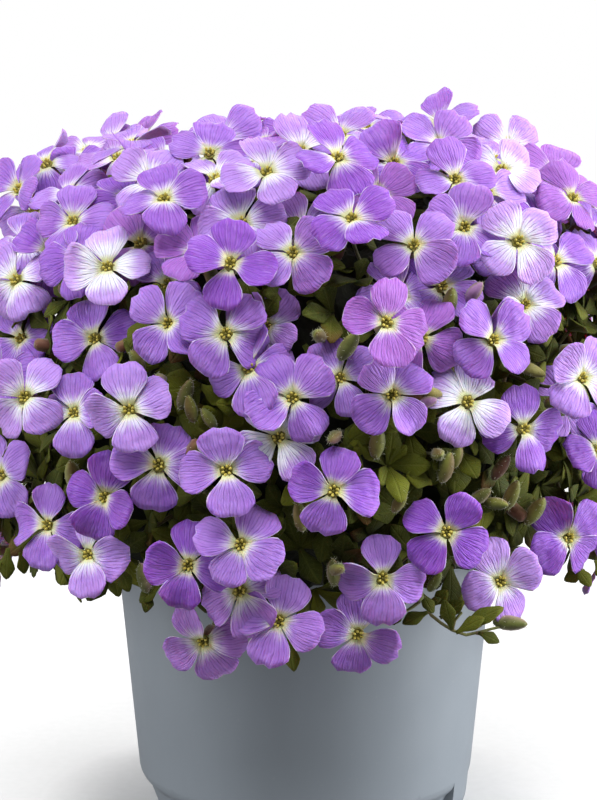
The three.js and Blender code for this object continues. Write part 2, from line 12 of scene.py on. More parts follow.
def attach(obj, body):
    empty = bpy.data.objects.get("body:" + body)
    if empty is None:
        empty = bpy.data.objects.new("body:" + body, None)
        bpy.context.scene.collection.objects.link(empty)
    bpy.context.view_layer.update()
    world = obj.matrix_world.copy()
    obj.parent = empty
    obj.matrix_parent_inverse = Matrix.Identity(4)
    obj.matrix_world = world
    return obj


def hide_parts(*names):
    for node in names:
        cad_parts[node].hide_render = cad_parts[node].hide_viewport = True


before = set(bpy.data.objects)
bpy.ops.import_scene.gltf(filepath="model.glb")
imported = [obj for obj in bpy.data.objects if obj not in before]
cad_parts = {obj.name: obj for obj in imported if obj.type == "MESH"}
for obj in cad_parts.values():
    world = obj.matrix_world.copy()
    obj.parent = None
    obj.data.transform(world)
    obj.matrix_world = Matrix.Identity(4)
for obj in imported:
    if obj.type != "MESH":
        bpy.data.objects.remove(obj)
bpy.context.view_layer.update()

bl_info = {
    "name": "Potted aubrieta",
    "version": (1, 0, 0),
    "blender": (4, 5, 0),
    "location": "View3D > Sidebar > Aubrieta",
    "description": "Builds a flowering aubrieta in a nursery pot round its packed frame",
    "category": "Add Mesh",
}

MM = 0.001
ROOT = "root"
SEED = 4779

# Mound: a round, flat-topped cushion that leans up a little to the right.
MOUND_RADIUS = 103
MOUND_CENTRE_Z = 125
MOUND_RISE = 88
MOUND_DROP = 71
MOUND_SQUARENESS = 2.8
MOUND_LEAN = 0.045
MOUND_HEART = np.array([0.0, 0.0, MOUND_CENTRE_Z])
HALFWAY = 50
SLOPE_STEP = 0.5

# The eye that sees the photograph: its place, its downward tilt and its focal length in pixels.
EYE = np.array([-2.1, -600.0, 213.0])
EYE_TILT = radians(7.9)
FOCAL = 1950
PICTURE_WIDTH = 597
PICTURE_HEIGHT = 800
NEAREST_SIGHT = 440
FURTHEST_SIGHT = 760

# Shoots, spread evenly over the mound.
SHOOT_COUNT = 36
GOLDEN_TURN = pi * (3 - sqrt(5))
LOWEST_SHOOT = radians(114)
CROWN_RADIUS = 43
SOIL_TOP = 82
STEM_ROOT = 9
STEM_END_DEPTH = 20
STEM_SPREAD_LOW = 1.05
STEM_SPREAD_HIGH = 0.72
STEM_UPRIGHT = 26
STEM_LAST_RISE = 18
STEM_OVER_RIM = 118
STEM_RADIUS = 1.6
SPRAY_COUNT = 6

# Blooms: how they stand, and the room that each keeps from the others.
PETAL_LENGTH = 12
PETAL_HALF_ANGLE = radians(26)
PETAL_LIFT = 0.05
PETAL_LIFT_SPREAD = 0.22
PETAL_TURN_SPREAD = 0.24
PETAL_LENGTH_LEAST = 0.94
PETAL_LENGTH_SPREAD = 0.12
STALK_REACH = 15
STALK_FIRST = 0.98
STALK_SPACING = 0.04
FACE_KEPT = 0.72
FACE_UP = 0.22
FACE_JITTER = 0.36
FACE_VIEWER = 0.75
LIFTS = (0, -2.4, 2.4, -4.8, 4.8, -7.2, 7.2, -9.6)
SIZES = (1, 0.93, 0.86)
BLOOM_GAP = 2
PETAL_SIDE_GAP = 0.9
PETAL_TIP_GAP = 1.6
STALK_GAP = 2.6
BLOOM_DEPTH = 6
PROBES_ALONG = np.array([0.35, 0.58, 0.79, 0.98])
PROBES_ACROSS = np.array([-1, -0.5, 0, 0.5, 1])
PROBE_STEP = 1.5
BACK_BLOOM_SPACING = 19.5
BACK_BLOOM_TRIES = 2600
BACK_BLOOM_LOWEST = 1.42
SEEN_FACING = 0.2
SEEN_MARGIN = 14
SEEN_TOP = 90
BUD_SINK = 3

# Blooms that slip in under their neighbours: how many are tried, how far apart, how deep and how near.
FILLER_COUNT = 900
FILLER_TONES = ("mid", "deep", "mid", "pale", "deep", "mid", "rosy")
FILLER_LOWEST = 1.02
FILLER_DEPTHS = (3.5, 5.5, 7.5, 2.0, 9.5)
FILLER_CONTACT = 0.12
FILLER_GAP = 0.7
FILLER_VIEWER = 0.3
FILLER_FOOT = 0.73
CROWDED_CONTACT = 0.35
CROWN_HEIGHT = 170
CROWN_SPACING = 12
SIDE_HEIGHT = 132
SIDE_SPACING = 17.5
BACK_TONES = ("mid", "pale", "deep", "mid", "mid", "lilac", "deep", "palest", "mid", "rosy")

# Tones of the blooms: how pale, how rosy and how far the white centre reaches.
TONES = {
    "palest": (0.95, 0.0, 0.42),
    "pale": (0.66, 0.0, 0.29),
    "lilac": (0.62, 0.4, 0.22),
    "mid": (0.34, 0.0, 0.17),
    "deep": (0.08, 0.05, 0.13),
    "rosy": (0.2, 0.7, 0.1),
}

# Blooms that the photograph shows: centre x and y in pixels, the turn of the petals in degrees, the tone.
FRONT_BLOOMS = (
    (293, 255, 45, "mid"), (226, 334, 60, "mid"), (445, 531, 57, "deep"), (522, 429, 5, "deep"),
    (77, 413, 5, "mid"), (106, 497, 70, "deep"), (108, 268, 5, "palest"), (391, 395, 30, "mid"),
    (333, 490, 75, "deep"), (204, 640, 20, "lilac"), (247, 368, 15, "mid"), (491, 341, 40, "mid"),
    (159, 465, 80, "mid"), (357, 633, 80, "mid"), (279, 621, 70, "mid"), (241, 544, 65, "mid"),
    (227, 470, 5, "mid"), (77, 335, 20, "mid"), (166, 323, 55, "mid"), (235, 273, 80, "deep"),
    (413, 247, 40, "mid"), (292, 399, 35, "mid"), (343, 379, 30, "mid"), (140, 409, 15, "pale"),
    (471, 403, 60, "palest"), (499, 581, 20, "pale"), (567, 537, 35, "deep"), (49, 525, 85, "mid"),
    (189, 565, 80, "deep"), (152, 270, 55, "mid"), (240, 219, 20, "pale"), (301, 213, 25, "pale"),
    (18, 281, 45, "pale"), (35, 211, 45, "pale"), (151, 183, 60, "pale"), (269, 188, 20, "pale"),
    (463, 229, 65, "mid"), (506, 251, 30, "palest"), (501, 172, 55, "palest"), (349, 236, 35, "deep"),
    (406, 287, 25, "mid"), (379, 328, 85, "rosy"), (238, 598, 20, "lilac"), (384, 582, 85, "mid"),
    (96, 551, 5, "pale"), (596, 450, 0, "deep"), (426, 337, 60, "rosy"), (528, 304, 25, "pale"),
    (438, 155, 60, "mid"), (451, 188, 15, "mid"), (210, 155, 80, "mid"), (301, 154, 30, "pale"),
    (336, 182, 20, "deep"), (172, 214, 10, "deep"), (262, 320, 60, "lilac"), (69, 195, 20, "mid"),
    (124, 190, 35, "deep"), (393, 165, 40, "deep"), (513, 141, 45, "pale"), (521, 227, 35, "mid"),
    (47, 397, 50, "pale"), (4, 475, 40, "mid"), (75, 223, 0, "mid"), (277, 439, 30, "palest"),
    (589, 405, 40, "mid"), (43, 245, 70, "deep"), (596, 264, 20, "mid"), (566, 205, 10, "rosy"),
    (553, 176, 50, "rosy"), (379, 186, 35, "rosy"), (112, 151, 30, "lilac"), (159, 141, 60, "mid"),
    (222, 139, 30, "mid"), (366, 123, 15, "mid"), (340, 136, 50, "mid"), (294, 128, 70, "mid"),
    (451, 107, 10, "mid"), (51, 172, 30, "mid"), (4, 380, 20, "mid"), (566, 378, 45, "pale"),
    (0, 335, 45, "mid"), (20, 240, 25, "pale"), (410, 120, 60, "mid"),
)
# Blooms that stand out at the left shoulder: a pixel, the plane's y, a turn and a tone.
SHOULDER_BLOOMS = (
    (47, 165, -4, 20, "mid"), (74, 171, 4, 55, "deep"), (88, 152, 14, 5, "lilac"), (113, 143, 22, 40, "pale"),
    (20, 190, -12, 65, "mid"), (146, 139, 26, 15, "rosy"),
)
# Pixels where the photograph shows no bloom, each with a radius.
BARE_SPOTS = ((571, 584, 9), (9, 576, 9), (562, 195, 6))

# Larger buds that the photograph shows, on stalks of their own: x, y and their kind.
FRONT_BUDS = (
    (482, 126, "green"), (158, 377, "lilac"), (113, 372, "green"), (316, 334, "green"), (479, 286, "lilac"),
    (341, 567, "green"), (517, 622, "brown"), (440, 455, "green"), (505, 505, "green"), (330, 440, "brown"),
)
# Smaller buds between the blooms: x, y, the way they point in degrees and their kind.
MORE_BUDS = (
    (186, 410, 100, "green"), (430, 404, 20, "lilac"), (487, 500, 40, "brown"), (520, 498, 70, "green"),
    (440, 590, 60, "green"), (137, 585, 100, "lilac"), (452, 470, 75, "green"), (404, 505, 60, "green"),
    (300, 520, 100, "green"), (118, 384, 110, "green"), (472, 560, 50, "brown"), (545, 515, 60, "green"),
    (205, 420, 120, "green"), (380, 445, 85, "green"), (463, 458, 80, "green"), (466, 520, 45, "green"),
    (510, 470, 60, "brown"), (335, 580, 95, "brown"), (420, 600, 120, "green"), (180, 395, 70, "brown"),
    (63, 478, 100, "green"), (350, 345, 60, "green"), (540, 369, -20, "pale"), (436, 393, 165, "pale"),
    (455, 300, 80, "green"), (395, 610, 80, "green"), (130, 360, 120, "green"), (420, 560, 70, "green"),
)
# Calyces seen from the side: x, y and the way they point in degrees.
SIDE_CALYCES = (
    (45, 283, 175), (20, 342, 170), (104, 348, 200), (568, 350, 178), (538, 525, -35),
    (553, 404, 175), (200, 250, 110), (345, 214, 80), (196, 440, 60), (263, 240, 100), (432, 396, 20),
)

# Pot and potting mix. Profiles are pairs of radius and height.
POT_SIDES = 160
WALL_LOW_Z = 10
WALL_RADIUS_LOW = 52
WALL_TAPER = 0.093
POT_WALL = 1.6
RIM_BAND = 8
FOOT_COUNT = 4
FOOT_START = 338
FOOT_WIDTH = 14
FOOT_BLOCK = (40, 70)
UNDERCUT = (
    (45.2, -1), (62, -1), (62, 16), (53, 16), (52.45, 15.2), (52.2, 14.1), (51.7, 13.1), (50.9, 12.1),
    (50.1, 11.4), (49.7, 10.8), (49.3, 9.8), (45.2, -1),
)
EDGE_RADIUS = 0.3
DRAIN_RADIUS = 4.5
DRAIN_AT = 34
DRAIN_GROOVE_DEPTH = 1.6
EDGE_ANGLE = radians(38)
SMOOTH_ANGLE = radians(32)
CAVITY = ((47.6, 11), (43.5, 3.2), (20, 3.2))
SOIL_LOW = ((20, 3.5), (43.1, 3.5), (47.1, 11.3))
SOIL_CLEAR = 0.3
SOIL_RINGS = 14
SOIL_SIDES = 72
CRUMB_COUNT = 420

# Petals, and the throat and calyx of a bloom.
PETAL_VARIANTS = 14
PETAL_ROWS = 7
PETAL_COLUMNS = 10
PETAL_JAG = 0.34
PETAL_FOLD = 3.2
PETAL_FOLD_FROM = 0.4
PETAL_THICKNESS = 0.22
PETAL_SHOULDER = 0.6
PETAL_HALF_WIDTHS = (
    (0.0, 0.11), (0.1, 0.17), (0.2, 0.33), (0.3, 0.53), (0.4, 0.71), (0.5, 0.85), (0.6, 0.94), (0.7, 0.99),
    (0.8, 1.0), (0.9, 0.97), (1.0, 0.90),
)
THROAT = ((0.5, -3.4), (1.0, -2.6), (1.75, -0.4), (2.05, 0.5), (1.5, 0.42), (0.5, -0.6))
THROAT_SEED = 20
ANTHERS = 6
CALYX = ((0.45, -10.2), (0.95, -9.4), (1.45, -8.0), (1.75, -6.0), (1.65, -3.5), (1.5, -1.6), (0.9, -0.9))
CALYX_LENGTH = 10
BLOOM_GROWTH = 1.02
PETAL_TILT_SPREAD = 0.6
PETAL_ROLL_SPREAD = 0.7
PETAL_SWING_SPREAD = 0.22
PETAL_STACK = 0.25
PETAL_NARROWEST = 0.88
PETAL_WIDTH_SPREAD = 0.18
BLOOM_TONE_SPREAD = 0.22
PETAL_TONE_SPREAD = 0.12
WHITE_SPREAD = 0.1

# Stalks and buds. A kind of bud has its seed, its slimness and its finish.
STALK_POINTS = 7
STALK_RADII = (0.5, 0.62)
STEM_POINTS = 14
BUD = ((0.5, -3.8), (1.15, -3.1), (1.7, -1.6), (1.8, 0.2), (1.5, 1.9), (0.95, 3.2), (0.3, 3.9))
BUD_KINDS = {
    "green": (30, 1.0, "bud"),
    "brown": (31, 0.9, "brown_bud"),
    "lilac": (32, 0.95, "lilac_bud"),
    "pale": (33, 0.8, "pale_bud"),
}
TRAIL_BUD_SEED = 40
BUD_STALK_TOP = 3
BUD_LEAN = 0.45
SIDE_DEPTH = 4
HAIR_RADIUS = 0.055

# Leaves
LEAF_VARIANTS = 5
LEAF_ROWS = 7
LEAF_COLUMNS = 2
LEAF_THICKNESS = 0.25
LEAF_OUTLINE = (
    (0.0, 0.06), (0.143, 0.08), (0.286, 0.13), (0.429, 0.20), (0.571, 0.255), (0.714, 0.285), (0.857, 0.22),
    (1.0, 0.09),
)
TUFT_LEAVES = 6
TUFT_DEPTH = 11
INNER_TUFT_DEPTH = 26
LEAF_GAP = 1.5
LEAF_PROBES = np.array(((0.45, 0.0), (0.75, -0.22), (0.75, 0.22), (1.0, 0.0), (1.2, 0.0)))
TUFT_LOWEST = 1.4

# Trailing shoot and the leaves that hang over the pot: the plane's y in millimetres, then pixels.
TRAIL_PLANE = -84
TRAIL_STEMS = (
    (
        (418, 585), (424, 602), (431, 615), (441, 623), (452, 630), (466, 635), (480, 632), (491, 629),
        (500, 627),
    ),
    ((452, 630), (455, 620), (462, 612)),
    ((476, 633), (486, 634), (492, 636)),
    ((424, 598), (414, 606), (405, 612)),
)
TRAIL_RADIUS = 0.55
TRAIL_BUDS = ((510, 623, 3, "lilac", 1.25), (481, 620, 60, "green", 0.75))
# Leaves: the pixels of the foot and the tip, and the plane's y.
HANGING_LEAVES = (
    (452, 630, 447, 603, -86), (458, 632, 499, 604, -88), (456, 633, 482, 616, -89), (478, 633, 499, 639, -89),
    (432, 606, 447, 592, -84), (421, 592, 432, 612, -86), (428, 612, 404, 622, -86), (440, 618, 462, 600, -84),
    (428, 603, 440, 597, -86), (290, 638, 291, 672, -88), (300, 632, 284, 652, -87), (118, 566, 130, 590, -80),
    (150, 590, 147, 612, -82), (160, 585, 140, 601, -82), (8, 548, 4, 580, -60), (20, 552, 24, 575, -62),
    (2, 560, -12, 578, -60), (575, 566, 592, 585, -66), (585, 570, 565, 582, -66), (595, 560, 606, 580, -64),
    (405, 610, 392, 622, -86), (412, 592, 398, 604, -86), (330, 610, 322, 630, -88),
)
HANGING_LEAF_WIDEST = 8.0

# Inner growth, coloured near-black as painted shade for the depths of the mound
CORE_SHARE = 0.75
CORE_ROUGH = 5.5
CORE_GRAIN = 9.0

# Finishes. Graded ones change from foot to tip. Plain ones have two colours, a scale, roughness and relief.
CLAW_COLOUR = (0.76, 0.74, 0.30, 1.0)
RIB_COLOUR = (0.15, 0.16, 0.03, 1.0)
DOWN_COLOUR = (0.24, 0.26, 0.08, 1.0)
RUST_COLOUR = (0.14, 0.035, 0.02, 1.0)
GRADED_SHADE = (0.55, 0.5, 0.45, 1.0)
DUST_COLOUR = (0.5, 0.5, 0.48, 1.0)
GRADED = {
    "calyx": ((0.12, 0.13, 0.03), (0.17, 0.09, 0.03), (0.19, 0.075, 0.045)),
    "bud": ((0.10, 0.12, 0.02), (0.20, 0.21, 0.035), (0.17, 0.12, 0.03)),
    "brown_bud": ((0.11, 0.12, 0.02), (0.16, 0.11, 0.03), (0.14, 0.055, 0.035)),
    "pale_bud": ((0.30, 0.26, 0.06), (0.34, 0.31, 0.09), (0.30, 0.28, 0.08)),
    "lilac_bud": ((0.13, 0.15, 0.03), (0.30, 0.22, 0.15), (0.46, 0.24, 0.50)),
    "stalk": ((0.16, 0.17, 0.05), (0.13, 0.12, 0.03), (0.12, 0.06, 0.03)),
    "stem": ((0.18, 0.12, 0.06), (0.22, 0.22, 0.07), (0.36, 0.38, 0.14)),
}
PLAIN = {
    "throat": ((0.22, 0.19, 0.02), (0.09, 0.08, 0.012), 900.0, 0.6, 0.0002),
    "anther": ((0.62, 0.52, 0.10), (0.30, 0.24, 0.03), 1500.0, 0.7, 0.0002),
    "hair": ((0.62, 0.64, 0.48), (0.45, 0.46, 0.30), 800.0, 0.6, 0.0001),
    "soil": ((0.030, 0.019, 0.012), (0.008, 0.005, 0.004), 260.0, 0.95, 0.0012),
    "bark": ((0.10, 0.055, 0.03), (0.03, 0.018, 0.012), 400.0, 0.9, 0.0006),
    "grit": ((0.62, 0.60, 0.55), (0.45, 0.43, 0.38), 900.0, 0.8, 0.0004),
    # The inner growth is near-black, darker than any leaf: painted shade for the depths of the mound.
    "growth_painted_shade": ((0.012, 0.015, 0.003), (0.003, 0.004, 0.001), 300.0, 0.9, 0.0008),
}
# The sockets of node groups that carry a number. The others carry a colour.
NUMBER_SOCKETS = ("Scale", "Share", "Vein", "Height")

# Stage
LENS_SENSOR = 24
ROOM_LIGHT = 0.16
FLOOR_BOUNCE = (0.3, 0.3, 0.3)
FLOOR_FADE = (0.35, 0.85)
FLOOR_NEAR = (0.058, 0.115)
FLOOR_COVER = 0.5
LAMPS = (
    ("left_window", (-1.3, -0.25, 0.45), (0, 0, 0.10), (0.7, 1.1), 14),
    ("right_window", (1.2, -0.1, 0.35), (0, 0, 0.08), (0.7, 1.0), 25),
    ("high_front", (0.0, -0.80, 1.45), (0, 0, 0.14), (1.2, 0.8), 25),
    ("high_back", (0.1, 0.9, 1.3), (0, 0, 0.14), (1.4, 0.9), 14),
)

# Filled by main: the finishes by name, and the one plan.
MATERIALS = {}
PLAN = []


# Settings


def colour_of(name, text, value):
    return FloatVectorProperty(name=name, description=text, subtype="COLOR", size=3, default=value)


def length_of(name, text, value):
    return FloatProperty(name=name, description=text, default=value, unit="LENGTH")


class PotSettings(bpy.types.PropertyGroup):
    """Sizes and finish of the pot."""

    height: length_of("Height", "Height of the pot", 0.092)
    rim_radius: length_of("Rim radius", "Radius at the rim", 0.060)
    colour: colour_of("Colour", "Colour of the plastic", (0.228, 0.260, 0.296))
    roughness: FloatProperty(name="Roughness", description="Roughness of the plastic", default=0.42)


class BloomSettings(bpy.types.PropertyGroup):
    """Petal colours and width."""

    deep: colour_of("Deep", "Deepest violet", (0.225, 0.06, 0.51))
    pale: colour_of("Pale", "Palest lilac", (0.55, 0.34, 0.82))
    rosy: colour_of("Rosy", "Pink cast of old petals", (0.36, 0.12, 0.50))
    centre: colour_of("Centre", "White of the centre", (0.86, 0.82, 0.90))
    line: colour_of("Line", "Veins", (0.085, 0.025, 0.25))
    petal_width: length_of("Petal width", "Width of one petal", 0.0126)


class LeafSettings(bpy.types.PropertyGroup):
    """Leaf sizes, counts and colours."""

    tufts: IntProperty(name="Tufts", description="Tufts of leaves under the blooms", default=560)
    inner_tufts: IntProperty(name="Inner tufts", description="Tufts deeper in the mound", default=260)
    length: length_of("Length", "Length of a leaf", 0.0100)
    old: colour_of("Old", "Old leaf", (0.027, 0.038, 0.003))
    young: colour_of("Young", "Young leaf", (0.168, 0.182, 0.010))


class StageSettings(bpy.types.PropertyGroup):
    """Floor and lights."""

    floor: colour_of("Floor", "Colour of the floor", (0.86, 0.86, 0.86))
    light: FloatProperty(name="Light", description="Strength of the lights", default=1.0)


# Draws


def dice(seed):
    """A repeatable draw of numbers between 0 and 1."""
    state = seed & 0xFFFFFFFF

    def draw():
        nonlocal state
        state = (state + 0x6D2B79F5) & 0xFFFFFFFF
        t = ((state ^ (state >> 15)) * (state | 1)) & 0xFFFFFFFF
        mixed = ((t ^ (t >> 7)) * (t | 61)) & 0xFFFFFFFF
        t ^= (t + mixed) & 0xFFFFFFFF
        return (t ^ (t >> 14)) / 4294967296

    return draw


# Mound and the picture's lines of sight


def unit(v):
    return v / np.linalg.norm(v, axis=-1, keepdims=True)


def mound_level(p):
    """1 on the mound's surface, less inside it and more outside."""
    rise = p[..., 2] - MOUND_CENTRE_Z - MOUND_LEAN * p[..., 0]
    across = np.hypot(p[..., 0], p[..., 1]) / MOUND_RADIUS
    up = np.abs(rise) / np.where(rise > 0, MOUND_RISE, MOUND_DROP)
    return (across**MOUND_SQUARENESS + up**MOUND_SQUARENESS) ** (1 / MOUND_SQUARENESS)


def mound_normal(p):
    here = mound_level(p)
    slope = [mound_level(p + SLOPE_STEP * axis) - here for axis in np.eye(3)]
    return unit(np.stack(slope, axis=-1))


def on_mound(p):
    out = p - MOUND_HEART
    scale = 1.0
    for _ in range(8):
        scale = scale / mound_level(out * scale + MOUND_HEART)
    return out * scale + MOUND_HEART


def mound_spot(height, turn):
    """Where the way from the mound's heart with this height and turn meets its surface."""
    across = sqrt(max(0.0, 1 - height * height))
    return on_mound(np.array([across * cos(turn), across * sin(turn), height]) * HALFWAY + MOUND_HEART)


def sight(x, y):
    """The line of sight through a pixel."""
    across = (x - PICTURE_WIDTH / 2) / FOCAL
    down = (y - PICTURE_HEIGHT / 2) / FOCAL
    return np.array([across, cos(EYE_TILT) - down * sin(EYE_TILT), -sin(EYE_TILT) - down * cos(EYE_TILT)])


def sight_on_mound(x, y):
    """Where the line of sight through a pixel meets the mound, or passes nearest to it."""
    points = EYE + sight(x, y) * np.arange(NEAREST_SIGHT, FURTHEST_SIGHT)[:, None]
    levels = mound_level(points)
    inside = np.nonzero(levels < 1)[0]
    return on_mound(points[inside[0] if len(inside) else np.argmin(levels)])


def picture_point(x, y, plane):
    """The point that a pixel shows, on the upright plane at y = plane."""
    line = sight(x, y)
    return EYE + line * (plane - EYE[1]) / line[1]


def pixel_of(p):
    d = p - EYE
    depth = d[1] * cos(EYE_TILT) - d[2] * sin(EYE_TILT)
    up = d[1] * sin(EYE_TILT) + d[2] * cos(EYE_TILT)
    return PICTURE_WIDTH / 2 + FOCAL * d[0] / depth, PICTURE_HEIGHT / 2 - FOCAL * up / depth


def seen_in_picture(p):
    x, y = pixel_of(p)
    faces = mound_normal(p) @ unit(EYE - p) > SEEN_FACING
    return faces and -SEEN_MARGIN < x < PICTURE_WIDTH + SEEN_MARGIN and y > SEEN_TOP


# Blooms' plan


class Bloom:
    """One bloom's place, its own axes, its four petals and its tone."""

    def __init__(self, at, turn, draw, to_viewer, tone):
        facing = mound_normal(at)
        facing[2] = facing[2] * FACE_KEPT + FACE_UP
        facing = facing + to_viewer * unit(EYE - at)
        facing = unit(facing + FACE_JITTER * np.array([draw() - 0.5, draw() - 0.5, draw() - 0.5]))
        side = unit(np.array([-facing[1], facing[0], 0.0]))
        top = np.cross(facing, side)
        self.u = side * cos(turn) + top * sin(turn)
        self.w = facing
        self.v = np.cross(self.w, self.u)
        self.petals = []
        for i in range(4):
            angle = i * pi / 2 + (draw() - 0.5) * PETAL_TURN_SPREAD
            lift = PETAL_LIFT + (draw() - 0.5) * PETAL_LIFT_SPREAD
            length = PETAL_LENGTH * (PETAL_LENGTH_LEAST + PETAL_LENGTH_SPREAD * draw())
            self.petals.append((angle, lift, length))
        self.at = self.rest = at
        self.size = 1
        self.tone = tone

    def axes(self):
        return np.array([self.u, self.v, self.w])

    def world(self, local):
        return self.at + np.asarray(local, float) @ self.axes()

    def set_probes(self):
        """Points that stand for the bloom and the upper part of its stalk."""
        local = []
        for angle, lift, length in self.petals:
            r, a = np.meshgrid(length * self.size * PROBES_ALONG, angle + PROBES_ACROSS * PETAL_HALF_ANGLE)
            local.append(np.stack([r * np.cos(a), r * np.sin(a), r * lift], axis=-1).reshape(-1, 3))
        depths = np.arange(0, STALK_REACH + PROBE_STEP / 2, PROBE_STEP)
        local.append(np.stack([depths * 0, depths * 0, -depths], axis=-1))
        self.probes = self.world(np.concatenate(local))

    def touches(self, points, gap=BLOOM_GAP):
        """Which points touch the petals or the upper part of the stalk."""
        x, y, z = ((points - self.at) @ self.axes().T).T
        r = np.hypot(x, y)
        hit = (r < STALK_GAP) & (z < 1) & (z > -STALK_REACH)
        near = (r <= (PETAL_LENGTH + PETAL_TIP_GAP) * self.size) & (np.abs(z) <= BLOOM_DEPTH)
        turn = np.arctan2(y, x)
        for angle, lift, _ in self.petals:
            away = np.abs((turn - angle + pi) % (2 * pi) - pi)
            beside = np.where(away > PETAL_HALF_ANGLE, r * np.sin(away - PETAL_HALF_ANGLE), 0)
            close = (away < pi / 2) & (beside < PETAL_SIDE_GAP) & (np.abs(z - lift * r) < gap)
            hit |= near & close
        return hit


def blooms_meet(a, b):
    if np.linalg.norm(a.at - b.at) > 2 * PETAL_LENGTH + STALK_REACH:
        return False
    return bool(b.touches(a.probes).any() or a.touches(b.probes).any())


def settle(bloom, others):
    """Tries a bloom at its place, then nearer to or further from the mound's heart, then smaller."""
    normal = mound_normal(bloom.rest)
    for size in SIZES:
        for lift in LIFTS:
            bloom.size = size
            bloom.at = bloom.rest + normal * lift
            bloom.set_probes()
            if not any(blooms_meet(bloom, other) for other in others):
                return True
    return False


def front_blooms(draw):
    """The blooms of the photograph, and those of them that need to slip in under the rest."""
    blooms = []
    crowded = []
    for x, y, turn, tone in FRONT_BLOOMS:
        bloom = Bloom(sight_on_mound(x, y), radians(turn), draw, FACE_VIEWER, tone)
        kept = blooms if settle(bloom, blooms) else crowded
        kept.append(bloom)
    return blooms, crowded


def any_near(blooms, at, spacing):
    return any(np.linalg.norm(bloom.rest - at) < spacing for bloom in blooms)


def slips_in(bloom, others, contact):
    """Sets a bloom just under its neighbours, where few of its points touch them."""
    normal = mound_normal(bloom.rest)
    for depth in FILLER_DEPTHS:
        bloom.at = bloom.rest - normal * depth
        bloom.set_probes()
        hits = np.zeros(len(bloom.probes), bool)
        for other in others:
            if np.linalg.norm(other.at - bloom.at) < 2 * PETAL_LENGTH:
                hits |= other.touches(bloom.probes, FILLER_GAP)
        if hits.mean() < contact:
            return True
    return False


def filler_blooms(blooms, crowded):
    """Blooms that show from under their neighbours, thickest on the crown as in the photograph."""
    draw = dice(SEED + 9)
    fillers = []
    for x, y, plane, turn, tone in SHOULDER_BLOOMS:
        bloom = Bloom(picture_point(x, y, plane), radians(turn), draw, FACE_VIEWER, tone)
        bloom.set_probes()
        fillers.append(bloom)
    for bloom in crowded:
        bloom.size = 1
        if slips_in(bloom, blooms + fillers, CROWDED_CONTACT):
            fillers.append(bloom)
    for i in range(FILLER_COUNT):
        at = mound_spot(1 - FILLER_LOWEST * (i + 0.5) / FILLER_COUNT, i * GOLDEN_TURN)
        spin = draw() * pi / 2
        towards = FILLER_VIEWER if seen_in_picture(at) else 0.0
        bloom = Bloom(at, spin, draw, towards, FILLER_TONES[i % len(FILLER_TONES)])
        everyone = blooms + fillers
        spacing = CROWN_SPACING if at[2] > CROWN_HEIGHT else SIDE_SPACING
        if at[2] < SIDE_HEIGHT or any_near(everyone, at, spacing):
            continue
        if slips_in(bloom, everyone, FILLER_CONTACT):
            fillers.append(bloom)
    return fillers


def on_bare_spot(bloom):
    x, y = pixel_of(bloom.at)
    near = [np.hypot(x - spot_x, y - spot_y) < reach for spot_x, spot_y, reach in BARE_SPOTS]
    return bloom.at[1] < 0 and any(near)


def back_blooms(draw, blooms):
    """The sides and back, which the photograph doesn't show, carry blooms at a like spacing."""
    for _ in range(BACK_BLOOM_TRIES):
        height = 1 - draw() * BACK_BLOOM_LOWEST
        at = mound_spot(height, draw() * pi * 2)
        turn = radians(draw() * 90)
        own_draw = dice(floor(draw() * 1e6))
        if any_near(blooms, at, BACK_BLOOM_SPACING) or seen_in_picture(at):
            continue
        bloom = Bloom(at, turn, own_draw, 0, BACK_TONES[len(blooms) % len(BACK_TONES)])
        if settle(bloom, blooms):
            blooms.append(bloom)


# Shoots' plan


def stem_controls(k):
    share = (k + 0.5) / SHOOT_COUNT
    down = acos(1 - share * (1 - cos(LOWEST_SHOOT)))
    turn = k * GOLDEN_TURN
    out = np.array([cos(turn), sin(turn), 0.0])
    root = out * CROWN_RADIUS * sqrt(share)
    way = out * sin(down) + np.array([0.0, 0.0, cos(down)])
    target = on_mound(way * HALFWAY + MOUND_HEART)
    end = target - mound_normal(target) * STEM_END_DEPTH
    shoulder = end * STEM_SPREAD_HIGH
    shoulder[2] = max(end[2] - STEM_LAST_RISE, STEM_OVER_RIM)
    low = np.array([root[0], root[1], SOIL_TOP - STEM_ROOT])
    upright = np.array([root[0] * STEM_SPREAD_LOW, root[1] * STEM_SPREAD_LOW, SOIL_TOP + STEM_UPRIGHT])
    return low, upright, shoulder, end


def along_curve(controls, t):
    a, b, c, d = controls
    s = 1 - t
    return a * s**3 + 3 * b * s * s * t + 3 * c * s * t * t + d * t**3


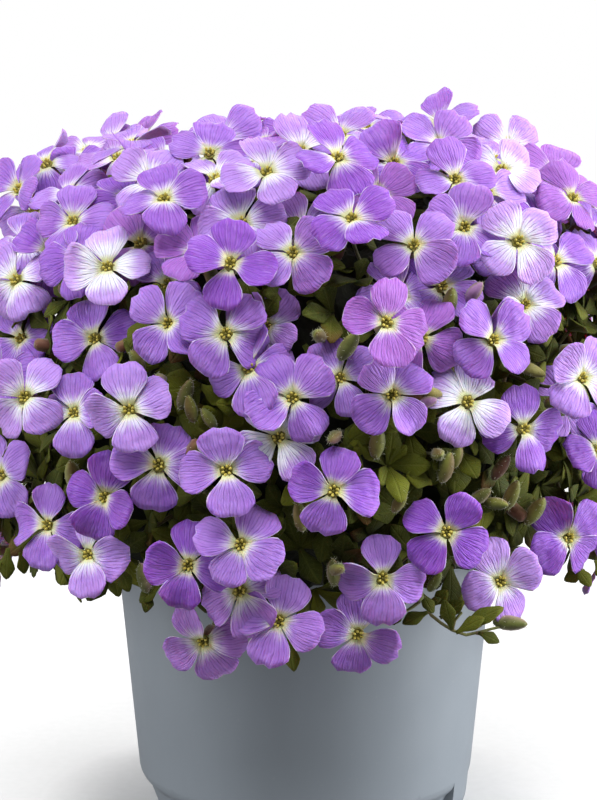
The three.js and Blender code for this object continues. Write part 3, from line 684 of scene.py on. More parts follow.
class Plan:
    """Where every bloom, bud and stem of the plant stands, and the spray that it belongs to."""

    def __init__(self):
        draw = dice(SEED)
        self.blooms, crowded = front_blooms(draw)
        back_blooms(draw, self.blooms)
        self.stems = [stem_controls(k) for k in range(SHOOT_COUNT)]
        self.ways = unit(np.array([stem[3] for stem in self.stems]) - MOUND_HEART)
        self.heads = [0] * SHOOT_COUNT
        for bloom in sorted(self.blooms, key=lambda bloom: bloom.at[2]):
            bloom.shoot, bloom.foot = self.next_foot(bloom.at)
        self.buds = []
        for x, y, kind in FRONT_BUDS:
            at = sight_on_mound(x, y)
            shoot, foot = self.next_foot(at)
            way = unit(mound_normal(at) + np.array([draw() - 0.5, 0.0, draw() - 0.2]))
            self.buds.append((kind, at - way * BUD_SINK, way, shoot, foot))
        fillers = filler_blooms(self.blooms, crowded)
        for bloom in fillers:
            bloom.shoot = self.nearest_shoot(bloom.at)
            bloom.foot = along_curve(self.stems[bloom.shoot], FILLER_FOOT)
        self.blooms = [bloom for bloom in self.blooms + fillers if not on_bare_spot(bloom)]

    def nearest_shoot(self, p):
        return int(np.argmax(self.ways @ unit(p - MOUND_HEART)))

    def next_foot(self, p):
        """The shoot that carries a head at p, and where on its stem the head's stalk stands."""
        k = self.nearest_shoot(p)
        share = STALK_FIRST - STALK_SPACING * self.heads[k]
        self.heads[k] += 1
        return k, along_curve(self.stems[k], share)

    def blocked(self, points, gap):
        """Which points lie in a petal or the upper part of a stalk."""
        hit = np.zeros(len(points), bool)
        centre = points.mean(axis=0)
        for bloom in self.blooms:
            if np.linalg.norm(bloom.at - centre) < 2 * PETAL_LENGTH + STALK_REACH:
                hit |= bloom.touches(points, gap)
        return hit

    def spray_of(self, shoot):
        """The spray of a shoot: one for each sector of the mound."""
        way = self.ways[shoot]
        turn = np.arctan2(way[1], way[0]) % (2 * pi)
        return int(turn / (2 * pi) * SPRAY_COUNT)

    def spray_at(self, p):
        return self.spray_of(self.nearest_shoot(p))

    def nodes_of(self, spray):
        return [f"shoot_{k + 1:02d}" for k in range(SHOOT_COUNT) if self.spray_of(k) == spray]


# Modelling


def deselect():
    if bpy.context.object and bpy.context.object.mode != "OBJECT":
        bpy.ops.object.mode_set(mode="OBJECT")
    bpy.ops.object.select_all(action="DESELECT")


def apply_modifiers(obj):
    bpy.context.view_layer.objects.active = obj
    for modifier in list(obj.modifiers):
        bpy.ops.object.modifier_apply(modifier=modifier.name)


def blade(columns, rows, place, thickness, materials):
    """A thin leaf-like blade: a grid given two faces. place(along, across) gives a point and its map."""
    deselect()
    bpy.ops.mesh.primitive_grid_add(x_subdivisions=rows, y_subdivisions=columns, size=1)
    obj = bpy.context.object
    charts = []
    for vertex in obj.data.vertices:
        vertex.co, chart = place(vertex.co.x + 0.5, vertex.co.y * 2)
        charts.append(chart)
    layer = obj.data.uv_layers[0].data
    for loop in obj.data.loops:
        layer[loop.index].uv = charts[loop.vertex_index]
    for material in materials:
        obj.data.materials.append(material)
    wall = obj.modifiers.new("faces", "SOLIDIFY")
    wall.thickness = thickness
    wall.offset = -1
    wall.material_offset = len(materials) - 1
    apply_modifiers(obj)
    return obj


def in_edit_mode(*steps):
    """Takes steps on the whole of the active mesh, then turns its faces outwards."""
    bpy.ops.object.mode_set(mode="EDIT")
    bpy.ops.mesh.select_all(action="SELECT")
    for step in steps:
        step()
    bpy.ops.mesh.select_all(action="SELECT")
    bpy.ops.mesh.normals_make_consistent(inside=False)
    bpy.ops.object.mode_set(mode="OBJECT")


def close_end():
    """Closes the open end of the active mesh with one face."""
    in_edit_mode(bpy.ops.mesh.region_to_loop, bpy.ops.mesh.edge_face_add)


def grow_rings(profile):
    """Extrudes and resizes the selected circle from ring to ring."""
    for (radius, height), (next_radius, next_height) in zip(profile, profile[1:]):
        bpy.ops.mesh.extrude_region_move(TRANSFORM_OT_translate={"value": (0, 0, next_height - height)})
        share = next_radius / radius
        bpy.ops.transform.resize(value=(share, share, 1), center_override=(0, 0, next_height))


def turned(profile, sides, materials, ridge=0.0, closed=True):
    """A body of revolution, or a slightly four-sided one where it has a ridge."""
    deselect()
    radius, height = profile[0]
    fill = "NGON" if closed else "NOTHING"
    bpy.ops.mesh.primitive_circle_add(vertices=sides, radius=radius, fill_type=fill, location=(0, 0, height))
    obj = bpy.context.object
    bpy.ops.object.transform_apply(location=True, rotation=False, scale=False)
    in_edit_mode(lambda: grow_rings(profile))
    mesh = obj.data
    if ridge:
        for vertex in mesh.vertices:
            swell = 1 + ridge * cos(4 * np.arctan2(vertex.co.y, vertex.co.x))
            vertex.co.x *= swell
            vertex.co.y *= swell
    heights = [height for _, height in profile]
    low, high = min(heights), max(heights)
    layer = mesh.uv_layers.new(name="UVMap")
    for loop in mesh.loops:
        co = mesh.vertices[loop.vertex_index].co
        turn = np.arctan2(co.y, co.x) / (2 * pi) + 0.5
        layer.data[loop.index].uv = ((co.z - low) / (high - low), turn)
    for material in materials:
        mesh.materials.append(material)
    return obj


class Shape:
    """A modelled shape held as arrays, so that many copies can stand in one piece."""

    def __init__(self, points, corners, sizes, slots, uv, materials):
        self.points, self.corners, self.sizes = points, corners, sizes
        self.slots, self.uv, self.materials = slots, uv, materials

    def moved(self, matrix):
        """A copy of the shape, moved by a 4 by 4 matrix."""
        points = self.points @ matrix[:3, :3].T + matrix[:3, 3]
        return Shape(points, self.corners, self.sizes, self.slots, self.uv, self.materials)


def read(items, name, kind=int, width=1):
    """One property of every item of a mesh, as an array."""
    values = np.empty(len(items) * width, kind)
    items.foreach_get(name, values)
    return values.reshape(-1, width) if width > 1 else values


def shape_of(obj):
    """Takes an object's mesh as a shape and removes the object."""
    mesh = obj.data
    points = read(mesh.vertices, "co", float, 3)
    corners = read(mesh.loops, "vertex_index")
    sizes = read(mesh.polygons, "loop_total")
    slots = read(mesh.polygons, "material_index")
    uv = read(mesh.uv_layers[0].data, "uv", float, 2)
    shape = Shape(points, corners, sizes, slots, uv, list(mesh.materials))
    bpy.data.objects.remove(obj)
    bpy.data.meshes.remove(mesh)
    return shape


def joined(shapes):
    """Several shapes as one."""
    materials = []
    for shape in shapes:
        materials += [m for m in shape.materials if m not in materials]
    starts = np.cumsum([0] + [len(shape.points) for shape in shapes[:-1]])
    slots = [np.array([materials.index(m) for m in shape.materials])[shape.slots] for shape in shapes]
    return Shape(
        np.concatenate([shape.points for shape in shapes]),
        np.concatenate([shape.corners + start for shape, start in zip(shapes, starts)]),
        np.concatenate([shape.sizes for shape in shapes]),
        np.concatenate(slots),
        np.concatenate([shape.uv for shape in shapes]),
        materials,
    )


class Piece:
    """Copies of shapes, gathered in millimetres to become one object in metres."""

    def __init__(self, name):
        self.name = name
        self.shapes = []
        self.values = []

    def add(self, shape, matrix, tone=0.5, rosy=0.0, white=0.0):
        self.shapes.append(shape.moved(matrix))
        self.values.append((tone, rosy, white))

    def make(self, slot, nodes=()):
        whole = joined(self.shapes)
        mesh = bpy.data.meshes.new(self.name)
        mesh.vertices.add(len(whole.points))
        mesh.vertices.foreach_set("co", (whole.points * MM).ravel())
        mesh.loops.add(len(whole.corners))
        mesh.loops.foreach_set("vertex_index", whole.corners)
        mesh.polygons.add(len(whole.sizes))
        mesh.polygons.foreach_set("loop_start", np.cumsum(whole.sizes) - whole.sizes)
        mesh.polygons.foreach_set("material_index", whole.slots)
        mesh.polygons.foreach_set("use_smooth", np.ones(len(whole.sizes), bool))
        mesh.uv_layers.new(name="UVMap").data.foreach_set("uv", whole.uv.ravel())
        counts = [len(shape.points) for shape in self.shapes]
        for name, values in zip(("tone", "rosy", "white"), np.transpose(self.values)):
            mesh.attributes.new(name, "FLOAT", "POINT").data.foreach_set("value", np.repeat(values, counts))
        for material in whole.materials:
            mesh.materials.append(material)
        mesh.update(calc_edges=True)
        mesh.validate()
        obj = bpy.data.objects.new(self.name, mesh)
        bpy.context.scene.collection.objects.link(obj)
        keep(obj, nodes)


def keep(obj, nodes=()):
    """Puts a finished piece on the root body, and hides the parts of the frame that it stands for."""
    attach(obj, ROOT)
    if nodes:
        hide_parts(*nodes)


def spray_pieces(name):
    return [Piece(f"{name}_{i + 1}") for i in range(SPRAY_COUNT)]


def frame_matrix(at, x, y, z, scale=1.0):
    matrix = np.eye(4)
    matrix[:3, :3] = np.stack([x, y, z], axis=1) * scale
    matrix[:3, 3] = at
    return matrix


def standing(at, way, spin=0.0, scale=1.0):
    """A matrix that stands a shape at a point with its z axis along way."""
    way = unit(way)
    helper = np.array([0.0, 0.0, 1.0]) if abs(way[2]) < 0.9 else np.array([1.0, 0.0, 0.0])
    x = unit(np.cross(helper, way))
    y = np.cross(way, x)
    return frame_matrix(at, x * cos(spin) + y * sin(spin), y * cos(spin) - x * sin(spin), way, scale)


def hair_shape(at, way, reach):
    """One hair: a slim three-sided spike."""
    turn = standing(at, way)
    base = [[HAIR_RADIUS * cos(a), HAIR_RADIUS * sin(a), -0.1] for a in (0, 2 * pi / 3, 4 * pi / 3)]
    points = np.array(base + [[0, 0, reach]]) @ turn[:3, :3].T + at
    corners = np.array([0, 1, 3, 1, 2, 3, 2, 0, 3, 0, 2, 1])
    return Shape(points, corners, np.full(4, 3), np.zeros(4, int), np.zeros((12, 2)), [MATERIALS["hair"]])


def hairy(shape, count, length, seed):
    """The shape with fine hairs standing on its faces."""
    draw = dice(seed)
    parts = [shape]
    starts = np.cumsum(shape.sizes) - shape.sizes
    for _ in range(count):
        face = int(draw() * len(shape.sizes))
        ring = shape.points[shape.corners[starts[face] : starts[face] + shape.sizes[face]]]
        normal = np.cross(ring[1] - ring[0], ring[2] - ring[0])
        if np.linalg.norm(normal) < 1e-6:
            continue
        weights = np.array([draw() + 0.1 for _ in ring])
        at = (ring * weights[:, None]).sum(axis=0) / weights.sum()
        lean = np.array([draw() - 0.5, draw() - 0.5, draw() - 0.5]) * 0.9
        parts.append(hair_shape(at, unit(unit(normal) + lean), length * (0.6 + 0.7 * draw())))
    return joined(parts)


# Materials


class Value:
    """A node's output. To add, subtract or multiply it adds a Math node."""

    def __init__(self, wiring, output):
        self.wiring = wiring
        self.output = output

    def __add__(self, other):
        return self.wiring.math("ADD", self, other)

    def __sub__(self, other):
        return self.wiring.math("SUBTRACT", self, other)

    def __mul__(self, other):
        return self.wiring.math("MULTIPLY", self, other)


class Wiring:
    """Adds nodes to one tree. An input is fed a number, a colour, a Value or a socket."""

    def __init__(self, tree):
        self.tree = tree

    def feed(self, socket, value):
        if isinstance(value, Value):
            value = value.output
        if isinstance(value, bpy.types.NodeSocket):
            self.tree.links.new(value, socket)
        else:
            socket.default_value = value

    def value(self, kind, output, given=(), **settings):
        """The output of a new node that has these settings and whose inputs are fed what is given."""
        node = self.tree.nodes.new("ShaderNode" + kind)
        for name, setting in settings.items():
            setattr(node, name, setting)
        for name, fed in dict(given).items():
            self.feed(node.inputs[name], fed)
        return Value(self, node.outputs[output])

    def math(self, operation, *values, clamp=False):
        return self.value("Math", 0, enumerate(values), operation=operation, use_clamp=clamp)

    def wave(self, value):
        return self.math("ABSOLUTE", self.math("SINE", value))

    def blend(self, share, first, second, how="MIX"):
        return self.value("Mix", 2, {0: share, 6: first, 7: second}, data_type="RGBA", blend_type=how)

    def step(self, value, low, high, to_low=0.0, to_high=1.0):
        """A smooth step from to_low at low to to_high at high."""
        given = enumerate((value, low, high, to_low, to_high))
        return self.value("MapRange", 0, given, interpolation_type="SMOOTHSTEP")

    def noise(self, vector, scale, detail=2.0, stretch=None):
        if stretch:
            vector = self.value("Mapping", 0, {"Vector": vector, "Scale": stretch})
        return self.value("TexNoise", 0, {"Vector": vector, "Scale": scale, "Detail": detail})

    def own_place(self):
        return self.value("TexCoord", "Object")

    def own_map(self):
        """The piece's own map: as a whole, along from 0 to 1, and across from -1 to 1."""
        uv = self.value("UVMap", 0, uv_map="UVMap")
        along = self.value("SeparateXYZ", 0, {0: uv})
        across = self.math("MULTIPLY_ADD", along.output.node.outputs[1], 2.0, -1.0)
        return uv, along, across

    def value_of(self, attribute):
        return self.value("Attribute", "Fac", attribute_name=attribute)


def rgba(colour):
    return (*colour, 1.0)


def new_group(name, inputs, outputs):
    """A node group with named sockets. Returns its wiring, its inputs and its outputs."""
    tree = bpy.data.node_groups.new(name, "ShaderNodeTree")
    for side, labels in (("INPUT", inputs), ("OUTPUT", outputs)):
        for label in labels:
            kind = "NodeSocketFloat" if label in NUMBER_SOCKETS else "NodeSocketColor"
            tree.interface.new_socket(label, in_out=side, socket_type=kind)
    return Wiring(tree), tree.nodes.new("NodeGroupInput").outputs, tree.nodes.new("NodeGroupOutput").inputs


def use_group(wiring, name, given):
    tree = bpy.data.node_groups[name]
    return wiring.value("Group", 0, given, node_tree=tree).output.node.outputs


def new_material(name, **settings):
    """A material, its wiring and its shader. Settings go on the shader's own sockets."""
    material = bpy.data.materials.new(name)
    material.use_nodes = True
    shader = material.node_tree.nodes["Principled BSDF"]
    for label, value in settings.items():
        shader.inputs[label.replace("_", " ")].default_value = value
    return material, Wiring(material.node_tree), shader.inputs


def bump(wiring, sockets, height, strength, distance):
    given = {"Strength": strength, "Distance": distance, "Height": height}
    wiring.feed(sockets["Normal"], wiring.value("Bump", 0, given))


def mottle_group():
    """A colour that varies softly over the surface, at a scale in metres."""
    w, given, made = new_group("mottle", ("Base", "Other", "Scale", "Share"), ("Colour",))
    share = w.step(w.noise(w.own_place(), given["Scale"]), 0.35, 0.65) * given["Share"]
    w.feed(made["Colour"], w.blend(share, given["Base"], given["Other"]))


def petal_group():
    """Veins that fan from the claw, a white centre that runs out in rays, and a pale margin."""
    inputs = ("Deep", "Pale", "Rosy", "Centre", "Line", "Vein")
    w, given, made = new_group("petal_pattern", inputs, ("Colour", "Height"))
    uv, along, across = w.own_map()
    place = w.own_place()
    cloud = w.noise(place, 150.0) - 0.5
    wander = (w.noise(place, 260.0, 3.0) - 0.5) * 0.34
    fan = across + wander * along + w.noise(place, 40.0, 0.0) * 0.6
    main = w.step(w.wave(fan * 12.0), 0.0, 0.5, 1.0, 0.0)
    fine = w.step(w.wave(fan * 24.0), 0.0, 0.5, 0.72, 0.0) * w.step(along, 0.3, 0.55)
    patchy = w.step(w.noise(uv, 1.0, 2.0, (5.0, 17.0, 1.0)), 0.33, 0.6, 0.4, 1.0)
    veins = w.math("MAXIMUM", main, fine) * w.step(along, 0.1, 0.2) * patchy
    veins = veins * w.step(along, 0.3, 0.95, 1.0, 0.5)
    tone = w.math("ADD", w.value_of("tone"), cloud * 0.6, clamp=True)
    body = w.blend(tone, given["Deep"], given["Pale"])
    blush = w.step(w.noise(place, 70.0, 1.0), 0.45, 0.75) * 0.3
    body = w.blend(w.math("MAXIMUM", w.value_of("rosy"), blush), body, given["Rosy"])
    streaks = w.step(w.noise(uv, 1.0, 3.0, (3.0, 30.0, 1.0)), 0.48, 0.75) * 0.35
    body = w.blend(streaks, body, given["Pale"])
    rays = w.noise(uv, 1.0, 2.0, (1.5, 16.0, 1.0)) - 0.5
    reach = along - w.value_of("white") + rays * 0.6 + cloud * 0.2
    body = w.blend(w.step(reach, -0.1, 0.3, 1.0, 0.0), body, given["Centre"])
    body = w.blend(veins * given["Vein"], body, given["Line"])
    rim = w.math("MAXIMUM", w.step(w.math("ABSOLUTE", across), 0.95, 1.0), w.step(along, 0.975, 1.0))
    body = w.blend(rim * w.step(along, 0.25, 0.5) * 0.5, body, given["Centre"])
    claw = w.step(along, 0.12, 0.3, 0.85, 0.0)
    w.feed(made["Colour"], w.blend(claw, body, CLAW_COLOUR))
    crinkle = w.noise(uv, 9.0, 3.0, (0.5, 2.5, 1.0)) * 1.2 + w.noise(place, 250.0, 1.0) * 3.2
    w.feed(made["Height"], crinkle - veins * 0.5)


def leaf_group():
    """Midrib, side veins, a soft down of pale hairs and, on some leaves, a rusty tip."""
    w, given, made = new_group("leaf_pattern", ("Old", "Young"), ("Colour", "Height"))
    _, along, across = w.own_map()
    place = w.own_place()
    edge = w.math("ABSOLUTE", across)
    tone = w.math("ADD", w.value_of("tone"), (w.noise(place, 220.0, 3.0) - 0.5) * 0.5, clamp=True)
    body = w.blend(tone, given["Old"], given["Young"])
    side = w.step(w.wave(along * 22.0 - edge * 7.0), 0.0, 0.35, 0.6, 0.0)
    ribs = w.math("MAXIMUM", w.step(edge, 0.03, 0.16, 1.0, 0.0), side)
    body = w.blend(ribs * 0.22, body, RIB_COLOUR)
    down = w.step(w.noise(place, 2600.0, 1.0), 0.58, 0.7)
    body = w.blend(down * 0.12, body, DOWN_COLOUR)
    rusty = w.value_of("rosy") * w.step(along, 0.5, 1.0)
    w.feed(made["Colour"], w.blend(rusty, body, RUST_COLOUR))
    w.feed(made["Height"], down * 0.5 - ribs)


def patterned_material(name, group, given, depth, **settings):
    """A finish that takes its colour and its relief from a node group."""
    material, w, sockets = new_material(name, **settings)
    pattern = use_group(w, group, given)
    w.feed(sockets["Base Color"], pattern["Colour"])
    bump(w, sockets, pattern["Height"], 0.6, depth)
    return material


def petal_material(name, bloom, vein, lighten):
    given = {"Pale": rgba(bloom.pale), "Centre": rgba(bloom.centre), "Vein": vein}
    for label, shade in (("Deep", bloom.deep), ("Rosy", bloom.rosy), ("Line", bloom.line)):
        given[label] = rgba(channel + (1 - channel) * lighten for channel in shade)
    settings = {"Roughness": 0.55, "Subsurface_Weight": 0.18, "Subsurface_Scale": 0.0015, "Sheen_Weight": 0.12}
    return patterned_material(name, "petal_pattern", given, 0.0006, Specular_IOR_Level=0.25, **settings)


def leaf_material(leaf):
    given = {"Old": rgba(leaf.old), "Young": rgba(leaf.young)}
    settings = {"Roughness": 0.7, "Subsurface_Weight": 0.08, "Subsurface_Scale": 0.001, "Sheen_Weight": 0.04}
    return patterned_material("leaf", "leaf_pattern", given, 0.0003, Specular_IOR_Level=0.16, **settings)


def graded_material(name, low, middle, high):
    """A finish that changes along the piece's own map, mottled and finely pitted."""
    material, w, sockets = new_material(name, Roughness=0.6, Sheen_Weight=0.25, Specular_IOR_Level=0.3)
    _, along, _ = w.own_map()
    lower = w.blend(w.step(along, 0.0, 0.5), rgba(low), rgba(middle))
    body = w.blend(w.step(along, 0.5, 1.0), lower, rgba(high))
    other = w.blend(1.0, body, GRADED_SHADE, "MULTIPLY")
    mottled = use_group(w, "mottle", {"Base": body, "Other": other, "Scale": 500.0, "Share": 0.6})
    w.feed(sockets["Base Color"], mottled["Colour"])
    bump(w, sockets, w.noise(w.own_place(), 1800.0), 0.35, 0.0003)
    return material


def plain_material(name, colour, other, scale, roughness, depth):
    """A mottled finish on Object coordinates."""
    material, w, sockets = new_material(name, Roughness=roughness)
    given = {"Base": rgba(colour), "Other": rgba(other), "Scale": scale, "Share": 0.7}
    w.feed(sockets["Base Color"], use_group(w, "mottle", given)["Colour"])
    bump(w, sockets, w.noise(w.own_place(), scale * 2.5, 3.0), 0.5, depth)
    return material


def pot_material(pot):
    """Satin plastic with faint flow marks of the moulding and a fine grain."""
    material, w, sockets = new_material("pot_plastic", Roughness=pot.roughness)
    place = w.own_place()
    flow = w.noise(place, 30.0, 4.0, (1.0, 1.0, 0.25))
    faded = rgba(channel * 1.10 for channel in pot.colour)
    body = w.blend(w.step(flow, 0.3, 0.7), rgba(pot.colour), faded)
    dust = w.step(w.noise(place, 900.0), 0.66, 0.78) * 0.07
    w.feed(sockets["Base Color"], w.blend(dust, body, DUST_COLOUR))
    rough = w.step(w.noise(place, 70.0, 3.0), 0.3, 0.7, pot.roughness - 0.05, pot.roughness + 0.07)
    w.feed(sockets["Roughness"], rough)
    bump(w, sockets, w.noise(place, 2200.0), 0.12, 0.0001)
    return material


def make_materials(scene):
    """Every finish, made once and kept by name."""
    mottle_group()
    petal_group()
    leaf_group()
    MATERIALS["petal"] = petal_material("petal", scene.aubrieta_bloom, 0.66, 0.0)
    MATERIALS["petal_back"] = petal_material("petal_back", scene.aubrieta_bloom, 0.4, 0.22)
    MATERIALS["leaf"] = leaf_material(scene.aubrieta_leaf)
    for name, colours in GRADED.items():
        MATERIALS[name] = graded_material(name, *colours)
    for name, finish in PLAIN.items():
        MATERIALS[name] = plain_material(name, *finish)
    MATERIALS["pot"] = pot_material(scene.aubrieta_pot)


class Undoable:
    """What the operators share: each is a step that can be undone."""

    bl_options = {"REGISTER", "UNDO"}


# Pot


def wall_radius(z):
    return WALL_RADIUS_LOW + WALL_TAPER * (z - WALL_LOW_Z)


def pot_profile(height, rim):
    """Radius and height of each ring, from the middle of the base out, up and back down inside."""
    foot = height - RIM_BAND
    inner = wall_radius(height) - POT_WALL
    outside = [
        (20, 0), (46.2, 0), (47.0, 0.15), (47.8, 0.6), (49.0, 1.8), (50.0, 3.2), (50.9, 5.0), (51.5, 6.9),
        (51.85, 8.6), (52.05, 10.5), *((wall_radius(z), z) for z in (16.6, 18.2, 30, foot)),
        (wall_radius(foot) + 0.25, foot + 0.1), (rim - 0.55, foot + 0.75), (rim - 0.3, foot + 1.1),
        (rim - 0.05, height - 1.4), (rim - 0.2, height - 0.5), (rim - 0.7, height),
    ]
    return outside + [(inner + 0.4, height), (inner, height - 0.4), (wall_radius(17) - POT_WALL, 17), *CAVITY]


def box_between(low, high, turn):
    """A box from one corner to the other, turned about the pot's axis."""
    deselect()
    bpy.ops.mesh.primitive_cube_add(size=1, location=(0, 0, 0))
    box = bpy.context.object
    low, high = Vector(low), Vector(high)
    box.data.transform(Matrix.Diagonal((*(high - low), 1)))
    box.data.transform(Matrix.Translation((low + high) / 2))
    box.data.transform(Matrix.Rotation(turn, 4, "Z"))
    return box


def foot_turn(number):
    return radians(FOOT_START + 360 / FOOT_COUNT * number)


def undercut():
    """A cutter for the undercut lower edge, which leaves the feet standing."""
    ring = turned(UNDERCUT, POT_SIDES, [], closed=False)
    in_edit_mode(lambda: bpy.ops.mesh.remove_doubles(threshold=0.001))
    near, far = FOOT_BLOCK
    half = FOOT_WIDTH / 2
    feet = [box_between((near, -half, -near), (far, half, near), foot_turn(i)) for i in range(FOOT_COUNT)]
    cut(ring, feet)
    return ring


def drain(turn):
    """A cutter for a drain hole and the groove that leads out from it."""
    deselect()
    bpy.ops.mesh.primitive_cylinder_add(vertices=32, radius=DRAIN_RADIUS, depth=20, location=(DRAIN_AT, 0, 0))
    hole = bpy.context.object
    bpy.ops.object.transform_apply(location=True, rotation=False, scale=False)
    hole.data.transform(Matrix.Rotation(turn, 4, "Z"))
    low = (DRAIN_AT, -DRAIN_RADIUS, -DRAIN_GROOVE_DEPTH)
    return [hole, box_between(low, (WALL_RADIUS_LOW, DRAIN_RADIUS, DRAIN_GROOVE_DEPTH), turn)]


def cut(obj, cutters):
    """Cuts each cutter out of an object and removes the cutter."""
    for cutter in cutters:
        deselect()
        modifier = obj.modifiers.new("cut", "BOOLEAN")
        modifier.operation = "DIFFERENCE"
        modifier.solver = "EXACT"
        modifier.object = cutter
        apply_modifiers(obj)
        bpy.data.objects.remove(cutter)


def to_metres(obj):
    obj.data.transform(Matrix.Scale(MM, 4))
    obj.data.update()


class AUBRIETA_OT_pot(Undoable, bpy.types.Operator):
    """Models the moulded pot with its rim band, feet and drain holes"""

    bl_idname = "aubrieta.pot"
    bl_label = "Pot"

    def execute(self, context):
        settings = context.scene.aubrieta_pot
        profile = pot_profile(settings.height / MM, settings.rim_radius / MM)
        obj = turned(profile, POT_SIDES, [MATERIALS["pot"]])
        obj.name = obj.data.name = "pot_moulding"
        close_end()
        for i in range(FOOT_COUNT):
            cut(obj, drain(foot_turn(i + 0.5)))
        cut(obj, [undercut()])
        edges = obj.modifiers.new("edges", "BEVEL")
        edges.width = EDGE_RADIUS
        edges.segments = 2
        edges.limit_method = "ANGLE"
        edges.angle_limit = EDGE_ANGLE
        apply_modifiers(obj)
        to_metres(obj)
        deselect()
        obj.select_set(True)
        bpy.context.view_layer.objects.active = obj
        bpy.ops.object.shade_smooth_by_angle(angle=SMOOTH_ANGLE)
        obj.modifiers.new("normals", "WEIGHTED_NORMAL").keep_sharp = True
        apply_modifiers(obj)
        keep(obj, ["pot"])
        return {"FINISHED"}


# Potting mix


class AUBRIETA_OT_soil(Undoable, bpy.types.Operator):
    """Models the potting mix with its uneven top, and the crumbs and grit on it"""

    bl_idname = "aubrieta.soil"
    bl_label = "Potting mix"

    def execute(self, context):
        rim = wall_radius(SOIL_TOP) - POT_WALL - SOIL_CLEAR
        profile = [*SOIL_LOW, (wall_radius(17) - POT_WALL - SOIL_CLEAR, 17.2), (rim, SOIL_TOP - 1.2)]
        profile += [(rim * (1 - i / SOIL_RINGS), SOIL_TOP) for i in range(SOIL_RINGS)]
        obj = turned(profile, SOIL_SIDES, [MATERIALS["soil"]])
        obj.name = obj.data.name = "potting_mix"
        close_end()
        for vertex in obj.data.vertices:
            if vertex.co.z > SOIL_TOP - 0.5:
                vertex.co.z += 1.6 * noise.noise(vertex.co / 7) + 0.9 * noise.noise(vertex.co / 2.5)
        to_metres(obj)
        obj.data.polygons.foreach_set("use_smooth", [True] * len(obj.data.polygons))
        keep(obj, ["soil"])
        self.crumbs(rim)
        return {"FINISHED"}

    def crumb_shape(self, finish, draw):
        deselect()
        bpy.ops.mesh.primitive_ico_sphere_add(subdivisions=1, radius=1)
        obj = bpy.context.object
        for vertex in obj.data.vertices:
            vertex.co *= 0.7 + 0.5 * draw()
        obj.data.materials.append(MATERIALS[finish])
        return shape_of(obj)

    def crumbs(self, rim):
        """Scatters crumbs over the top. One in twelve is grit."""
        draw = dice(SEED + 5)
        shapes = [self.crumb_shape(finish, draw) for finish in ("soil", "bark", "soil", "grit")]
        piece = Piece("soil_crumbs")
        for i in range(CRUMB_COUNT):
            r = (rim - 3) * sqrt(draw())
            turn = draw() * 2 * pi
            at = np.array([r * cos(turn), r * sin(turn), SOIL_TOP + 0.4])
            size = 0.6 + 1.3 * draw() ** 2
            matrix = standing(at, np.array([draw() - 0.5, draw() - 0.5, 0.6]), draw() * 6)
            matrix[:3, :3] *= np.array([size, size * (0.6 + 0.6 * draw()), size * 0.7])
            piece.add(shapes[0 if i % 4 == 3 and i % 12 != 3 else i % 4], matrix)
        piece.make("soil")


# Blooms


def petal_shape(variant, half_width):
    """One petal, 12 mm long, its claw at the origin, with a ruffle and a curl of its own."""
    draw = dice(SEED + 100 + variant)
    shares, halves = zip(*PETAL_HALF_WIDTHS)
    phase = [draw() * 2 * pi for _ in range(6)]
    wild = 2.2 if variant % 4 == 3 else 1.0
    ruffle = (0.2 + 0.45 * draw()) * wild
    arch = 0.5 + 1.1 * draw()
    droop = 2.6 * draw() ** 2 * wild
    cupping = (-1.0 + 2.2 * draw()) * wild
    twist = (draw() - 0.5) * 0.5 * wild
    cleft = 0.25 + 0.4 * draw()
    skew = (draw() - 0.5) * 1.2
    fold = PETAL_FOLD * draw() if variant % 4 == 1 else 0.0

    def place(along, side):
        across = sin(side * pi / 2)
        reach = PETAL_SHOULDER + (1 - PETAL_SHOULDER) * sqrt(max(0.0, 1 - abs(across) ** 2.3))
        share = along * reach
        half = half_width * np.interp(share, shares, halves)
        tip = along**10
        x = PETAL_LENGTH * share
        x += tip * (0.2 * sin(11 * across + phase[0]) - cleft * np.exp(-((across / 0.14) ** 2)))
        x += tip * PETAL_JAG * (draw() - 0.5)
        y = half * across + skew * share**2
        y += 0.12 * across**7 * sin(15 * share + phase[1])
        z = 0.9 + arch * share * (1 - 1.15 * share) - 2.6 * max(0.0, 1 - share / 0.2) ** 2
        z -= cupping * across**2 * share + droop * share**3
        z += twist * y * share
        z += ruffle * share**2 * sin(3.2 * across + phase[2])
        z += 0.34 * max(tip, across**6 * share) * sin(11 * across + 7 * share + phase[3])
        z += fold * max(0.0, across - PETAL_FOLD_FROM) ** 1.5 * share
        return Vector((x, y, z)), (share, across / 2 + 0.5)

    finishes = [MATERIALS["petal"], MATERIALS["petal_back"]]
    return shape_of(blade(PETAL_COLUMNS, PETAL_ROWS, place, PETAL_THICKNESS, finishes))


def grain_shape(length, radius, finish):
    """A small ellipsoid, such as an anther."""
    deselect()
    bpy.ops.mesh.primitive_uv_sphere_add(segments=6, ring_count=4, radius=1)
    obj = bpy.context.object
    obj.data.transform(Matrix.Diagonal((radius, radius, length / 2, 1)))
    obj.data.materials.append(MATERIALS[finish])
    return shape_of(obj)


def eye_shape(seed):
    """The throat, its anthers and the stigma, at the middle of a bloom."""
    draw = dice(seed)
    parts = [shape_of(turned(THROAT, 8, [MATERIALS["throat"]], 0.08))]
    anther = grain_shape(1.5, 0.42, "anther")
    for i in range(ANTHERS):
        turn = i * pi / 3 + draw() * 0.5
        r = 0.85 + 0.3 * draw()
        at = np.array([r * cos(turn), r * sin(turn), 0.75 + 0.5 * draw()])
        parts.append(anther.moved(standing(at, np.array([cos(turn) * 0.5, sin(turn) * 0.5, 1.0]))))
    stigma = standing(np.array([0.0, 0.0, 0.5]), np.array([0, 0, 1.0]))
    parts.append(grain_shape(1.2, 0.38, "throat").moved(stigma))
    return joined(parts)


